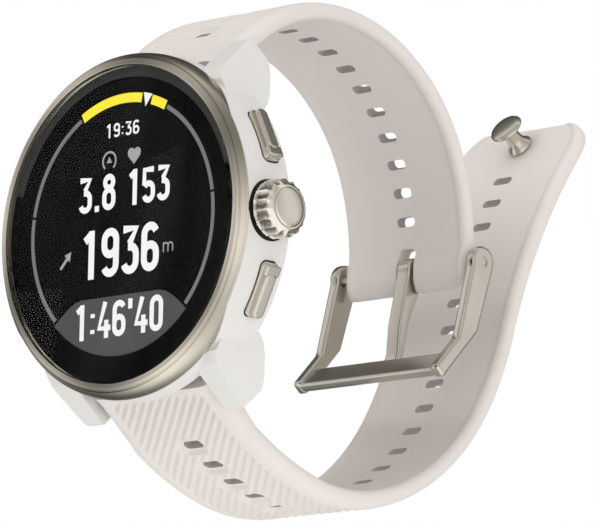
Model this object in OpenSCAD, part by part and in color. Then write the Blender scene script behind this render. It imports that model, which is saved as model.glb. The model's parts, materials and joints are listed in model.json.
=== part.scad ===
// GPS running watch: round polymer case with a steel bezel, press-and-turn crown,
// two side buttons, quick-release silicone strap, pin buckle and tail stud.
// Origin: centre of the sensor window's wrist face. +Y into the wrist, -Y out of
// the dial, +Z towards 12 o'clock, +X towards 3 o'clock (the crown).

/* [Case] */
// Outside diameter of the case
case_d = 45; // [44.6:0.1:45.6]
// Thickness from the wrist face to the glass
case_h = 11.4; // [11.4:0.1:12]
// Diameter of the glass
glass_d = 41.2; // [41:0.1:41.4]
// Distance between the lugs
lug_gap = 22.1; // [21.9:0.1:22.3]
// Screws that hold the back cover
screw_r = 0.5; // [0.4:0.05:0.55]

/* [Controls] */
// Angle of each side button above and below the crown
button_angle = 26; // [24:1:28]
// Length of a button along the case
button_len = 7.4; // [6.8:0.1:7.6]
// Height of a button
button_h = 2.8; // [2.4:0.1:2.9]
// How far a button travels
button_travel = 0.4; // [0.3:0.05:0.45]
// Diameter of the crown
crown_d = 7.6; // [7:0.1:7.7]
// Number of flutes round the crown
flutes = 18; // [12:1:24]

/* [Strap] */
// Width of the strap
strap_w = 22; // [20:0.5:22]
// Thickness of the strap
strap_t = 2.4; // [2.2:0.1:2.6]
// Distance between adjusting slots on the buckle half
slot_pitch = 3.87; // [3.8:0.01:3.95]
// Distance between adjusting slots on the tail half
tail_slot_pitch = 4.08; // [4:0.01:4.1]
// Length of an adjusting slot across the strap
slot_len = 3.2; // [3:0.1:3.4]
// Width of an adjusting slot
slot_w = 1.3; // [1.2:0.1:1.5]

/* [Buckle] */
// Outside width of the buckle
buckle_w = 26.4; // [26:0.1:27]
// Thickness of the buckle's plates
buckle_t = 1.5; // [1.3:0.1:1.5]
// Width of the tongue
tongue_w = 2.3; // [2:0.1:2.5]

/* [Hidden] */
$fn = 96;

case_r = case_d / 2;
glass_r = glass_d / 2;
fit = 0.05;              // running clearance of a shaft in its bore
seam = 0.02;             // gap where two fixed faces meet
reach = 60;              // longer than anything it cuts
back_z = 2.6;            // rear edge of the case above the wrist face
shoulder_z = 8.6;        // where the bezel sits on the case
rise_z = 10.2;           // top of the case at 3 and 9 o'clock
cavity_r = 17.6;         // room for the battery and boards
upper_cavity_r = 20;     // room for the display
upper_cavity_z = 8;
spigot_r = 21.05;        // bore that takes the bezel's spigot
groove_r = 21.7;         // foot of the groove under the front ring
ledge_r = 19;            // inside of the ledge that carries the glass
glass_t = 1;
ramp_in = 12.2;          // half width of the bezel's cut-away at its top
ramp_out = 16.4;         // and at its foot
cover_r = case_r - 1;
bar_y = -2.4;            // spring bar axes, which hinge the straps
bar_z = 21;
recess_y = case_h - 5.2; // front of the recess for the strap, above the wrist
recess_z = 18.5;
bar_r = 0.75;
tip_r = 0.45;
bar_half = 10;
tip_end = 12.2;
tip_bore_end = 12.4;
release_travel = 1.4;
root_w = lug_gap - 0.5;  // strap width between the lugs
root_r = 2.05;           // barrel of the strap round its bar
crown_z = 6.2;           // crown axis above the wrist face
crown_x = 22.7;
crown_len = 2.1;
crown_travel = 0.45;
stem_r = 0.9;
stem_in = 15.6;
tube_bore = 1.28;
button_z = 5.4;
button_stem_r = 0.6;
pocket_x = 20.3;
cap_x = 21.5;
cap_out = 23.6;
board_r = 17.2;
strap_step = 5;          // degrees of bend between points of a strap's outline
bar2 = [44.0, 1.3];      // buckle bar axis (y, z)
bar2_r = 0.7;
bar2_bore = bar2_r + fit;
notch_w = 3.1;
stud_s = 92.2;           // distance of the stud along the lower strap
stud_r = 1.1;

// ---- strap paths: [length along the wrist face, bend towards the wrist in degrees]
upper_start = [3.1, 24.2, 41.5];
upper_path = [[10, 25], [8, 20], [28, 66], [11.5, 22], [4.6, 0]];
lower_start = [4.2, 25.3, 33];
lower_path = [[12, 16], [14, 33], [22, 41], [12, 17], [16, -11], [12, -8], [8, 0]];

function total(path, i = 0) = i == len(path) ? 0 : path[i][0] + total(path, i + 1);
function left(a) = [-sin(a), cos(a)];
function ahead(a) = [cos(a), sin(a)];
// Pose [y, z, heading] after following one segment
function advance(p, seg) =
    let (at = [p[0], p[1]], r = seg[1] == 0 ? 0 : seg[0] / (seg[1] * PI / 180),
        turn = p[2] - seg[1],
        to = seg[1] == 0 ? at + seg[0] * ahead(p[2]) : at + r * (left(turn) - left(p[2])))
    [to[0], to[1], turn];
function pose(path, start, i) = i == 0 ? start : advance(pose(path, start, i - 1), path[i - 1]);
// Pose at distance s along a path
function pose_at(path, start, s, i = 0) =
    s <= path[i][0] || i == len(path) - 1
        ? advance(start, [s, path[i][1] * s / path[i][0]])
        : pose_at(path, advance(start, path[i]), s - path[i][0], i + 1);

// ---- helpers
// Face-up frame of the case: z is the height above the wrist face, y is 12 o'clock
module face_up() rotate([90, 0, 0]) children();
module ring(outer, inner, z0, z1) translate([0, 0, z0]) difference() {
    cylinder(r = outer, h = z1 - z0);
    translate([0, 0, -1]) cylinder(r = inner, h = z1 - z0 + 2);
}
// A cylinder along x
module rod(r, x0, x1) translate([x0, 0, 0]) rotate([0, 90, 0]) cylinder(r = r, h = x1 - x0);
// A seal of round section whose axis is x
module o_ring(x, middle_r, section_r) translate([x, 0, 0]) rotate([0, 90, 0])
    rotate_extrude() translate([middle_r, 0]) circle(r = section_r, $fn = 24);
module coil(middle_r, wire_r, turns, length) linear_extrude(height = length,
    twist = -360 * turns, slices = 10 * turns, $fn = 6)
        translate([middle_r, 0]) circle(r = wire_r);
// Round-ended bar along y and z, extruded along x
module pill(length, height, x0, x1) translate([x0, 0, 0]) rotate([90, 0, 90])
    linear_extrude(x1 - x0) {
        square([length - height, height], center = true);
        for (end = [-1, 1]) translate([end * (length - height) / 2, 0]) circle(d = height);
    }
module at_bar() translate([0, bar_y, bar_z]) children();
module at_buckle_bar() translate([0, bar2[0], bar2[1]]) children();
// Outline drawn in (y, z), extruded evenly about x = 0
module side_plate(width) translate([-width / 2, 0, 0]) rotate([90, 0, 90])
    linear_extrude(width) children();
module at_crown() translate([0, 0, crown_z]) children();
module at_button(side) rotate([0, 0, side * button_angle]) translate([0, 0, button_z]) children();

// ---- case and bezel, in the face-up frame
module cutaway() rotate([90, 0, 90]) translate([0, 0, -reach / 2]) linear_extrude(reach)
    polygon([[-ramp_out, shoulder_z - 0.01], [ramp_out, shoulder_z - 0.01],
        [ramp_in, rise_z], [-ramp_in, rise_z]]);
module lug() intersection() {
    // side outline (height above the wrist face against z), from the case to the tip
    rotate([90, 0, 90]) translate([0, 0, lug_gap / 2]) linear_extrude(reach)
        polygon([[13, 6.7], [17.5, 8.6], [19.2, 7.8], [20.2, 6.7], [23.7, 2.5], [23.9, 1.9],
            [22.9, 0.9], [21.5, -0.6], [20.6, -0.8], [19.6, -0.75], [17, -0.2],
            [15.4, 0.5], [13, 2.7]]);
    // front outline (x against z)
    translate([0, 0, -reach / 2]) linear_extrude(reach)
        polygon([[10, 12], [10, 25], [13.9, 25], [14.2, 23.6], [15.2, 22], [17.2, 18.6],
            [18.9, 14.6], [19.4, 12]]);
}
module lugs() for (x = [0, 1], y = [0, 1]) mirror([x, 0, 0]) mirror([0, y, 0]) lug();
module strap_recess(extra) for (side = [0, 1]) mirror([0, side, 0])
    translate([-lug_gap / 2, recess_z - extra, -reach + recess_y])
        cube([lug_gap, reach, reach]);
module mid_case() color("gainsboro") face_up() difference() {
    union() {
        translate([0, 0, back_z]) rotate_extrude() polygon([[cavity_r, 0], [case_r - 0.4, 0],
            [case_r, 0.4], [case_r, shoulder_z - back_z], [cavity_r, shoulder_z - back_z]]);
        intersection() {
            ring(case_r, spigot_r, shoulder_z, rise_z);
            cutaway();
        }
        lugs();
    }
    translate([0, 0, -1]) cylinder(r = cavity_r, h = reach);
    translate([0, 0, upper_cavity_z]) cylinder(r = upper_cavity_r, h = reach);
    translate([0, 0, -5]) cylinder(r = cover_r + 0.15, h = 5 + back_z);
    strap_recess(0);
    for (side = [0, 1]) mirror([0, side, 0]) translate([0, bar_z, -bar_y])
        rod(tip_r + fit, -tip_bore_end, tip_bore_end);
    at_crown() rod(crown_d / 2 + 0.15, 21.6, 30);
    at_crown() rod(1.7, 10, 30);
    for (side = [-1, 1]) at_button(side) {
        pill(button_len + 0.3, button_h + 0.3, pocket_x, 30);
        rod(button_stem_r + fit, 10, 30);
        rod(1, 10, 18.3);
    }
    screw_places() translate([0, 0, back_z - 1]) cylinder(r = screw_r + seam, h = 3.4);
}
module screw_places() for (a = [40, 140, 220, 320]) rotate([0, 0, a])
    translate([19.9, 0, 0]) children();
module bezel() color("darkkhaki") face_up() difference() {
    rotate_extrude() polygon([[ledge_r, 9.4], [20.3, 9.4], [20.3, shoulder_z + 0.15],
        [spigot_r - fit, shoulder_z + 0.15], [spigot_r - fit, shoulder_z + seam],
        [case_r, shoulder_z + seam], [case_r - 0.05, rise_z + seam], [groove_r, case_h - 0.45],
        [groove_r - 0.12, case_h - 0.45], [groove_r - 0.1, case_h - 0.2],
        [groove_r - 0.3, case_h], [glass_r + 0.05, case_h], [glass_r + 0.05, rise_z],
        [ledge_r, rise_z]]);
    intersection() {
        ring(case_r + 1, spigot_r, shoulder_z - 1, rise_z + seam);
        translate([0, 0, seam]) cutaway();
    }
}
module bezel_gasket() color("dimgray") face_up() ring(20.95, 20.3, shoulder_z, shoulder_z + 0.14);
module glass_lens() color([0.05, 0.05, 0.06]) face_up() translate([0, 0, case_h - glass_t])
    rotate_extrude() polygon([[0, 0], [glass_r, 0], [glass_r, glass_t - 0.12],
        [glass_r - 0.15, glass_t], [0, glass_t]]);
module lens_gasket() color("black") face_up()
    ring(glass_r - 0.1, ledge_r + 0.2, rise_z, case_h - glass_t);
module display_panel() color("black") face_up() ring(18.6, 0.01, 9.2, case_h - glass_t - seam);
module antenna_ring() color("orange") face_up() ring(19.9, 19.3, upper_cavity_z + seam, 9.2);

// ---- inside the case
module inner_frame() color("darkslategray") face_up() difference() {
    translate([0, 0, 3.2]) cylinder(r = board_r, h = 3.5);
    translate([-12.7, -8.7, 0]) cube([reach, 17.4, reach]);
    translate([10.7, -reach / 2, 0]) cube([reach, reach, reach]);
    for (y = [-12.2, 12.2]) translate([0, y, 0]) cylinder(r = 3.1, h = reach);
}
module battery() color("silver") face_up() translate([-12.5, -8.5, 3.3]) cube([23, 17, 3.3]);
module main_board() color("darkgreen") face_up() {
    difference() {
        translate([0, 0, 6.9]) cylinder(r = board_r, h = 0.6);
        // notch for the crown's inner end
        translate([14.1, -1.9, 6]) cube([5, 3.8, 3]);
    }
    for (chip = [[-9, 3, 6], [1, 4, 5], [-3, -8, 4], [6, -6, 3.5]])
        translate([chip[0], chip[1], 7.5]) cube([chip[2], chip[2], 0.7]);
}
module display_flex() color("peru") face_up() translate([-4, 0, 0]) rotate([90, 0, 90])
    linear_extrude(8) polygon([[12, 7.52], [16.9, 7.52], [16.9, 9.18], [12, 9.18], [12, 9.06],
        [16.78, 9.06], [16.78, 7.64], [12, 7.64]]);
module vibration_motor() color("silver") face_up() translate([0, -12.2, 3.3])
    cylinder(r = 3, h = 2.7);
module buzzer() color("goldenrod") face_up() translate([0, 12.2, 3.3]) cylinder(r = 3, h = 1);

// ---- back
module back_cover() color("dimgray") face_up() difference() {
    rotate_extrude() polygon([[9, 1.5], [10.1, 1.5], [10.1, 0.35], [17.2, 0.35], [21.2, 1.7],
        [cover_r, 2.1], [cover_r, back_z - seam], [cavity_r - 0.1, back_z - seam],
        [cavity_r - 0.1, 3.15], [9, 3.15]]);
    ring(18.95, 18.35, 2.05, 4);
    strap_recess(0.2);
    screw_places() {
        translate([0, 0, -1]) cylinder(r = screw_r + fit, h = 6);
        translate([0, 0, -2]) cylinder(r = 0.95, h = 3.4);
    }
    contact_places() translate([0, 0, -1]) cylinder(r = 0.62, h = 6);
}
module contact_places() for (x = [-3.3, -1.1, 1.1, 3.3]) translate([x, -14.2, 0]) children();
module back_gasket() color("black") face_up() translate([0, 0, 2.32])
    rotate_extrude() difference() {
        translate([18.65, 0]) circle(r = 0.25, $fn = 24);
        translate([18, back_z - seam - 2.32]) square([2, 1]);
    }
module cover_screws() color("silver") face_up() screw_places() difference() {
    union() {
        translate([0, 0, 1.3]) cylinder(r = screw_r, h = 3.32);
        translate([0, 0, 0.92]) cylinder(r = 0.9, h = 0.46);
    }
    translate([0, 0, 0.5]) cylinder(r = 0.4, h = 0.7, $fn = 6);
}
module sensor_window() color("black") face_up() rotate_extrude()
    polygon([[0, 0], [9.3, 0], [10.05, 0.5], [10.05, 1.48], [0, 1.48]]);
module sensor_board() color("darkgreen") face_up() translate([0, 0, 1.9])
    cylinder(r = 8.9, h = 0.6);
module sensor_optics() color("limegreen") face_up() {
    for (a = [90, 210, 330]) rotate([0, 0, a]) translate([3.6, -0.9, 1.52])
        cube([1.8, 1.8, 0.36]);
    for (x = [-1.3, 1.3]) translate([x - 1, -1, 1.52]) cube([2, 2, 0.36]);
}
module charge_contacts() color("gold") face_up() contact_places()
    translate([0, 0, 0.3]) cylinder(r = 0.6, h = 2.9);

// ---- crown: turns, and presses the switch behind it
module crown_head() color("silver") face_up() at_crown() difference() {
    translate([crown_x, 0, 0]) rotate([0, 90, 0]) rotate_extrude() polygon([[0, 0],
        [crown_d / 2 - 0.2, 0], [crown_d / 2, 0.2], [crown_d / 2, crown_len],
        [crown_d / 2 - 0.6, 2.75], [2.75, 3.0], [2.6, 3.0], [2.6, 2.6], [0, 2.6]]);
    for (i = [0 : flutes - 1]) rotate([i * 360 / flutes, 0, 0])
        translate([0, crown_d / 2 + 0.18, 0]) rod(0.5, crown_x + 0.35, crown_x + crown_len - 0.15);
    rod(stem_r + 0.01, 20, 24.2);
}
module crown_cap() color("gainsboro") face_up() at_crown() translate([crown_x + 2.62, 0, 0])
    rotate([0, 90, 0]) rotate_extrude() polygon([[0, 0], [2.57, 0], [2.57, 0.36],
        [2.3, 0.46], [1.3, 0.56], [0, 0.6]]);
module crown_stem() color("silver") face_up() at_crown() rod(stem_r, stem_in, 24.1);
module crown_tube() color("silver") face_up() at_crown() difference() {
    rod(1.68, 17.3, 21.5);
    rod(tube_bore, 10, 30);
}
module crown_seal() color("black") face_up() at_crown()
    for (x = [18.6, 20.2]) o_ring(x, 1.09, 0.17);
module crown_clip() color("silver") face_up() at_crown() difference() {
    rod(1.5, 16.9, 17.2);
    rod(stem_r + 0.01, 10, 30);
    translate([10, -0.4, 0]) cube([20, 0.8, 3]);
}
module crown_push_cap() color("ivory") face_up() at_crown() difference() {
    rod(1.3, 14.9, 16.4);
    rod(stem_r + fit, stem_in - seam, 30);
}
module crown_switch() color("black") face_up() at_crown() {
    translate([12.4, -1.5, -1.1]) cube([1.6, 3, 1.7]);
    rod(0.5, 13.9, 14.85 - crown_travel);
}

// ---- one side button with its spring, seal, clip and switch; side is +1 above the crown
module button(side) face_up() at_button(side) {
    pill(button_len, button_h, cap_x, 22.8);
    translate([0, side * 0.55, 0]) pill(button_len - 1.3, button_h - 1, 22.7, cap_out);
    rod(button_stem_r, 15.7, 21.6);
}
module button_spring(side) face_up() at_button(side) translate([pocket_x + 0.02, 0, 0])
    rotate([0, 90, 0]) coil(0.95, 0.1, 3, 0.72);
module button_seal(side) face_up() at_button(side) o_ring(17.95, 0.8, 0.16);
module button_clip(side) face_up() at_button(side) difference() {
    rod(1.2, 17.05, 17.35);
    rod(button_stem_r + 0.01, 10, 30);
    translate([10, -0.3, 0]) cube([20, 0.6, 3]);
}
module button_switch(side) face_up() at_button(side) {
    translate([13.3, -1.4, -0.9]) cube([1.5, 2.8, 1.8]);
    rod(0.45, 14.7, 15.65 - button_travel);
}
module upper_button() color("silver") button(1);
module upper_button_spring() color("silver") button_spring(1);
module upper_button_seal() color("black") button_seal(1);
module upper_button_clip() color("silver") button_clip(1);
module upper_button_switch() color("black") button_switch(1);
module lower_button() color("silver") button(-1);
module lower_button_spring() color("silver") button_spring(-1);
module lower_button_seal() color("black") button_seal(-1);
module lower_button_clip() color("silver") button_clip(-1);
module lower_button_switch() color("black") button_switch(-1);

// ---- straps
// Points along a path at a height above the wrist face, a few degrees apart
function rail(path, start, height) = [
    for (i = [0 : len(path) - 1])
        let (p = pose(path, start, i), steps = max(1, ceil(abs(path[i][1]) / strap_step)))
            for (k = [i == 0 ? 0 : 1 : steps])
                let (q = advance(p, path[i] * k / steps))
                    [q[0], q[1]] + height * left(q[2])];
function backwards(list) = [for (i = [len(list) - 1 : -1 : 0]) list[i]];
// A strap from its thick end to its tip, slots left out
module strap_band(path, start) side_plate(strap_w)
    polygon(concat(rail(path, start, 0), backwards(rail(path, start, strap_t))));
module along(path, start, s) {
    p = pose_at(path, start, s);
    translate([0, p[0], p[1]]) rotate([p[2], 0, 0]) children();
}
// An adjusting slot, cut square to the strap
module slot() translate([0, 0, -1]) {
    translate([-(slot_len - slot_w) / 2, -slot_w / 2, 0])
        cube([slot_len - slot_w, slot_w, strap_t + 2]);
    for (end = [-1, 1]) translate([end * (slot_len - slot_w) / 2, 0, 0])
        cylinder(d = slot_w, h = strap_t + 2, $fn = 24);
}
// The thick end that hinges on the spring bar, between the lugs
module strap_root(start) {
    outer = [start[0], start[1]] + strap_t * left(start[2]);
    side_plate(root_w) polygon([[bar_y - 3.2, bar_z - 0.3], outer, [start[0], start[1]],
        [bar_y + 1.55, bar_z - 1.35], [bar_y, bar_z - root_r], [bar_y - 1.5, bar_z - 1.7],
        [bar_y - 2.9, bar_z - 1]]);
    at_bar() rod(root_r, -root_w / 2, root_w / 2);
}
module strap_bores() at_bar() {
    rod(bar_r + fit, -reach, reach);
    // slot for the release lever, on the wrist side
    translate([6, -0.6, -reach]) cube([2.9, 1.2, reach]);
}
module upper_strap() color("lightgray") difference() {
    union() {
        strap_root(upper_start);
        strap_band(upper_path, upper_start);
        at_buckle_bar() rod(1.5, -strap_w / 2, strap_w / 2);
    }
    strap_bores();
    for (i = [0 : 13]) along(upper_path, upper_start, 2.2 + i * slot_pitch) slot();
    at_buckle_bar() rod(bar2_bore, -reach, reach);
    // notch for the tongue
    translate([-notch_w / 2, bar2[0] - 4, -reach + 4.4]) cube([notch_w, 9, reach]);
}
module lower_strap() color("lightgray") mirror([0, 0, 1]) difference() {
    union() {
        strap_root(lower_start);
        strap_band(lower_path, lower_start);
    }
    strap_bores();
    for (i = [0 : 21]) along(lower_path, lower_start, 0.1 + i * tail_slot_pitch) slot();
    along(lower_path, lower_start, stud_s) translate([0, 0, -1])
        cylinder(r = stud_r + 0.01, h = strap_t + 2);
    tail_corners();
}
// Cuts that round the tail's corners in plan
module tail_corners() for (side = [0, 1]) mirror([side, 0, 0])
    along(lower_path, lower_start, total(lower_path) - 5) translate([strap_w / 2 - 5, 0, -4])
        difference() {
            cube([6, 8, 10]);
            cylinder(r = 5, h = 10);
        }
// Tube of a spring bar with its fixed tip
module spring_bar() at_bar() difference() {
    union() {
        rod(bar_r, -bar_half, bar_half);
        rod(tip_r, -tip_end, -bar_half);
    }
    rod(tip_r + fit, 1, reach);
    translate([6, -0.5, -reach]) cube([2.9, 1, reach]);
}
module bar_spring() at_bar() translate([1.1, 0, 0]) rotate([0, 90, 0]) coil(0.3, 0.1, 6, 5.6 - release_travel);
// Sliding tip of a spring bar with its thumb lever
module release_pin() at_bar() {
    rod(tip_r, 7, tip_end);
    translate([8.2, 0, -2.4]) cylinder(r = 0.42, h = 2.4);
}
module upper_spring_bar() color("silver") spring_bar();
module upper_bar_spring() color("silver") bar_spring();
module upper_release_pin() color("silver") release_pin();
module lower_spring_bar() color("silver") mirror([0, 0, 1]) spring_bar();
module lower_bar_spring() color("silver") mirror([0, 0, 1]) bar_spring();
module lower_release_pin() color("silver") mirror([0, 0, 1]) release_pin();
module tail_stud() color("silver") mirror([0, 0, 1]) along(lower_path, lower_start, stud_s)
    mirror([0, 0, 1]) {
        translate([0, 0, -strap_t - 0.3]) cylinder(r = stud_r, h = strap_t + 3.7);
        translate([0, 0, 0.02]) cylinder(r1 = 1.9, r2 = stud_r, h = 0.9);
        translate([0, 0, 3.0]) rotate_extrude() polygon([[0, 0], [1.9, 0], [2.4, 0.35],
            [2.4, 0.6], [2.0, 0.95], [0, 1.0]]);
        translate([0, 0, -strap_t - 0.55]) cylinder(r = 2.2, h = 0.52);
    }

// ---- buckle, outlines in (y, z)
module arm_outline() {
    translate(bar2) circle(r = 2.1);
    polygon([[bar2[0] - 2, bar2[1] + 0.4], [bar2[0] + 2, bar2[1] - 0.3], [43.1, -8.4],
        [37.5, -14.1], [36.5, -15.2], [35.1, -14.0], [35.4, -13.4], [39.3, -9.5]]);
}
module buckle_frame() color("silver") {
    difference() {
        side_plate(buckle_w) arm_outline();
        side_plate(buckle_w - 2 * buckle_t) square(2 * reach, center = true);
        at_buckle_bar() rod(bar2_r, -reach, reach);
    }
    side_plate(buckle_w - 1) polygon([[36.4, -15.0], [35.2, -14.1], [38.1, -11.4], [39.3, -12.4]]);
}
module buckle_bar() color("silver") at_buckle_bar()
    rod(bar2_r, -buckle_w / 2 + 0.2, buckle_w / 2 - 0.2);
module buckle_tongue() color("silver") difference() {
    union() {
        at_buckle_bar() rod(1.75, -tongue_w / 2, tongue_w / 2);
        side_plate(tongue_w) polygon([[bar2[0] - 1.6, bar2[1] + 0.3],
            [bar2[0] + 1.6, bar2[1] - 0.3], [42.6, -5.8], [41.6, -10.6], [40.6, -12.1],
            [39.9, -11.6], [40.4, -10.2], [40.7, -6.4]]);
    }
    at_buckle_bar() rod(bar2_bore, -reach, reach);
}

mid_case();
bezel();
bezel_gasket();
glass_lens();
lens_gasket();
display_panel();
antenna_ring();
inner_frame();
battery();
main_board();
display_flex();
vibration_motor();
buzzer();
back_cover();
back_gasket();
cover_screws();
sensor_window();
sensor_board();
sensor_optics();
charge_contacts();
crown_head();
crown_cap();
crown_stem();
crown_tube();
crown_seal();
crown_clip();
crown_push_cap();
crown_switch();
upper_button();
upper_button_spring();
upper_button_seal();
upper_button_clip();
upper_button_switch();
lower_button();
lower_button_spring();
lower_button_seal();
lower_button_clip();
lower_button_switch();
upper_strap();
upper_spring_bar();
upper_bar_spring();
upper_release_pin();
lower_strap();
lower_spring_bar();
lower_bar_spring();
lower_release_pin();
tail_stud();
buckle_frame();
buckle_bar();
buckle_tongue();
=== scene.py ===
"""GPS running watch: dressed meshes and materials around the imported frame."""
import json
import math

import bmesh
import bpy
from mathutils import Matrix, Vector


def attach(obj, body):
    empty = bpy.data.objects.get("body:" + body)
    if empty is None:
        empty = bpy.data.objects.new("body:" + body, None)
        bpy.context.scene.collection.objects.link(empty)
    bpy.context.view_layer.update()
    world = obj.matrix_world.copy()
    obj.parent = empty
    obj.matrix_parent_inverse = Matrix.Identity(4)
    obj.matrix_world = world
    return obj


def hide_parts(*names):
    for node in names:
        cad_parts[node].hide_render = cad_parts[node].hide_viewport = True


bl_info = {
    "name": "Running watch builder",
    "version": (1, 0, 0),
    "blender": (4, 5, 0),
    "location": "View3D > Sidebar > Watch",
    "description": "Builds the detailed pieces of a GPS running watch on its frame",
    "category": "Object",
}

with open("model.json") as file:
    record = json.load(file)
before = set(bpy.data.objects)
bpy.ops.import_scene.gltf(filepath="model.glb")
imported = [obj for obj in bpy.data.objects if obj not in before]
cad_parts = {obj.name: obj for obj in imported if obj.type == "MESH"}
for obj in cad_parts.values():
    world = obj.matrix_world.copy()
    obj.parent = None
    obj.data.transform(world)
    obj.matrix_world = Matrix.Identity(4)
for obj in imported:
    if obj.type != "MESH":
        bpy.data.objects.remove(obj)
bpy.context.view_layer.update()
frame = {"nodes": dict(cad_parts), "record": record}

MM = 0.001
# Frames of the dial (local z out of the dial) and the crown (local z out of the case)
DIAL = Matrix.Rotation(math.radians(90), 4, "X")
CROWN_HEIGHT = 6.2
CROWN = Matrix.Translation((0, -CROWN_HEIGHT, 0)) @ Matrix.Rotation(math.radians(90), 4, "Y")

# Case and bezel, in millimetres
CASE_RADIUS = 22.5
RAMP_RISE = 1.6             # how far the bezel's foot climbs at 3 and 9 o'clock
RAMP_IN = 12.2              # half width of that climb at its top
RAMP_RUN = 4.2              # and how much wider it is at its foot
BEZEL_FOOT = 8.66
BEZEL_SHOULDER = 10.45      # the climb squeezes the bezel's skirt below this height
SPIGOT_RADIUS = 21.03
BUTTON_HEIGHT = 5.4         # button axes above the wrist face
FLOOR_HEIGHT = -0.165       # metres; below the camera

# Strap shapes: start [y, z, heading] and stretches of [length, bend] along the wrist face
UPPER_START = (3.1, 24.2, 41.5)
UPPER_PATH = ((10, 25), (8, 20), (28, 66), (11.5, 22), (4.6, 0))
LOWER_START = (4.2, 25.3, 33)
LOWER_PATH = ((12, 16), (14, 33), (22, 41), (12, 17), (16, -11), (12, -8), (8, 0))
LUG_BAR = (-2.4, 21.0)      # spring bar (y, z)
NOSE = (-5.6, 20.7)         # front corner of a strap's thick end
BARREL_RADIUS = 2.05
BUCKLE_BAR = (44.0, 1.3)
STUD_PLACE = 92.2


# ---------------------------------------------------------------- settings
class WatchCaseSettings(bpy.types.PropertyGroup):
    flutes: bpy.props.IntProperty(
        name="Crown flutes", description="Grooves round the crown", default=18)
    button_angle: bpy.props.FloatProperty(
        name="Button angle", description="Angle of the buttons from the crown",
        default=math.radians(26), subtype="ANGLE")


class WatchStrapSettings(bpy.types.PropertyGroup):
    width: bpy.props.FloatProperty(
        name="Strap width", description="Width of the strap in mm", default=22.0)
    root_width: bpy.props.FloatProperty(
        name="Root width", description="Width between the lugs in mm", default=21.6)
    rib_pitch: bpy.props.FloatProperty(
        name="Rib pitch", description="Distance between ribs in mm", default=1.05)
    rib_depth: bpy.props.FloatProperty(
        name="Rib depth", description="Depth of the grooves between ribs in mm", default=0.26)
    hollow_depth: bpy.props.FloatProperty(
        name="Hollow depth", description="Depth of the hollow round a slot in mm", default=0.6)
    sample: bpy.props.FloatProperty(
        name="Mesh step", description="Spacing of the strap's mesh in mm", default=0.21)
    slot_length: bpy.props.FloatProperty(
        name="Slot length", description="Length of an adjusting slot in mm", default=3.2)
    slot_width: bpy.props.FloatProperty(
        name="Slot width", description="Width of an adjusting slot in mm", default=1.3)


class WatchLookSettings(bpy.types.PropertyGroup):
    silicone: bpy.props.FloatVectorProperty(
        name="Silicone", description="Colour of the strap", subtype="COLOR",
        default=(0.755, 0.712, 0.683))
    polymer: bpy.props.FloatVectorProperty(
        name="Case polymer", description="Colour of the case", subtype="COLOR",
        default=(0.75, 0.738, 0.722))
    bezel: bpy.props.FloatVectorProperty(
        name="Bezel", description="Tint of the bezel", subtype="COLOR",
        default=(0.70, 0.65, 0.55))
    steel: bpy.props.FloatVectorProperty(
        name="Steel", description="Tint of the fittings", subtype="COLOR",
        default=(0.62, 0.585, 0.52))
    zone: bpy.props.FloatVectorProperty(
        name="Zone", description="Colour of the lit zone on the dial", subtype="COLOR",
        default=(1.0, 0.86, 0.02))


def case_settings():
    return bpy.context.scene.watch_case


def strap_settings():
    return bpy.context.scene.watch_strap


def look_settings():
    return bpy.context.scene.watch_looks


# ---------------------------------------------------------------- node groups
def new_group(name, inputs, outputs):
    """A shader node group with float sockets, and its two end nodes."""
    tree = bpy.data.node_groups.new(name, "ShaderNodeTree")
    for label, default in inputs:
        socket = tree.interface.new_socket(label, in_out="INPUT", socket_type="NodeSocketFloat")
        socket.default_value = default
    for label in outputs:
        tree.interface.new_socket(label, in_out="OUTPUT", socket_type="NodeSocketFloat")
    return tree, tree.nodes.new("NodeGroupInput"), tree.nodes.new("NodeGroupOutput")


def grain_group():
    """Moulded grain: a fine height and a slow mottle."""
    tree, start, end = new_group(
        "moulded_grain", [("Grain Scale", 4000), ("Mottle Scale", 60)], ["Height", "Mottle"])
    place = tree.nodes.new("ShaderNodeTexCoord")
    fine = tree.nodes.new("ShaderNodeTexNoise")
    fine.inputs["Detail"].default_value = 3
    slow = tree.nodes.new("ShaderNodeTexNoise")
    slow.inputs["Detail"].default_value = 2
    tree.links.new(place.outputs["Object"], fine.inputs["Vector"])
    tree.links.new(place.outputs["Object"], slow.inputs["Vector"])
    tree.links.new(start.outputs["Grain Scale"], fine.inputs["Scale"])
    tree.links.new(start.outputs["Mottle Scale"], slow.inputs["Scale"])
    tree.links.new(fine.outputs["Fac"], end.inputs["Height"])
    tree.links.new(slow.outputs["Fac"], end.inputs["Mottle"])
    return tree


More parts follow.
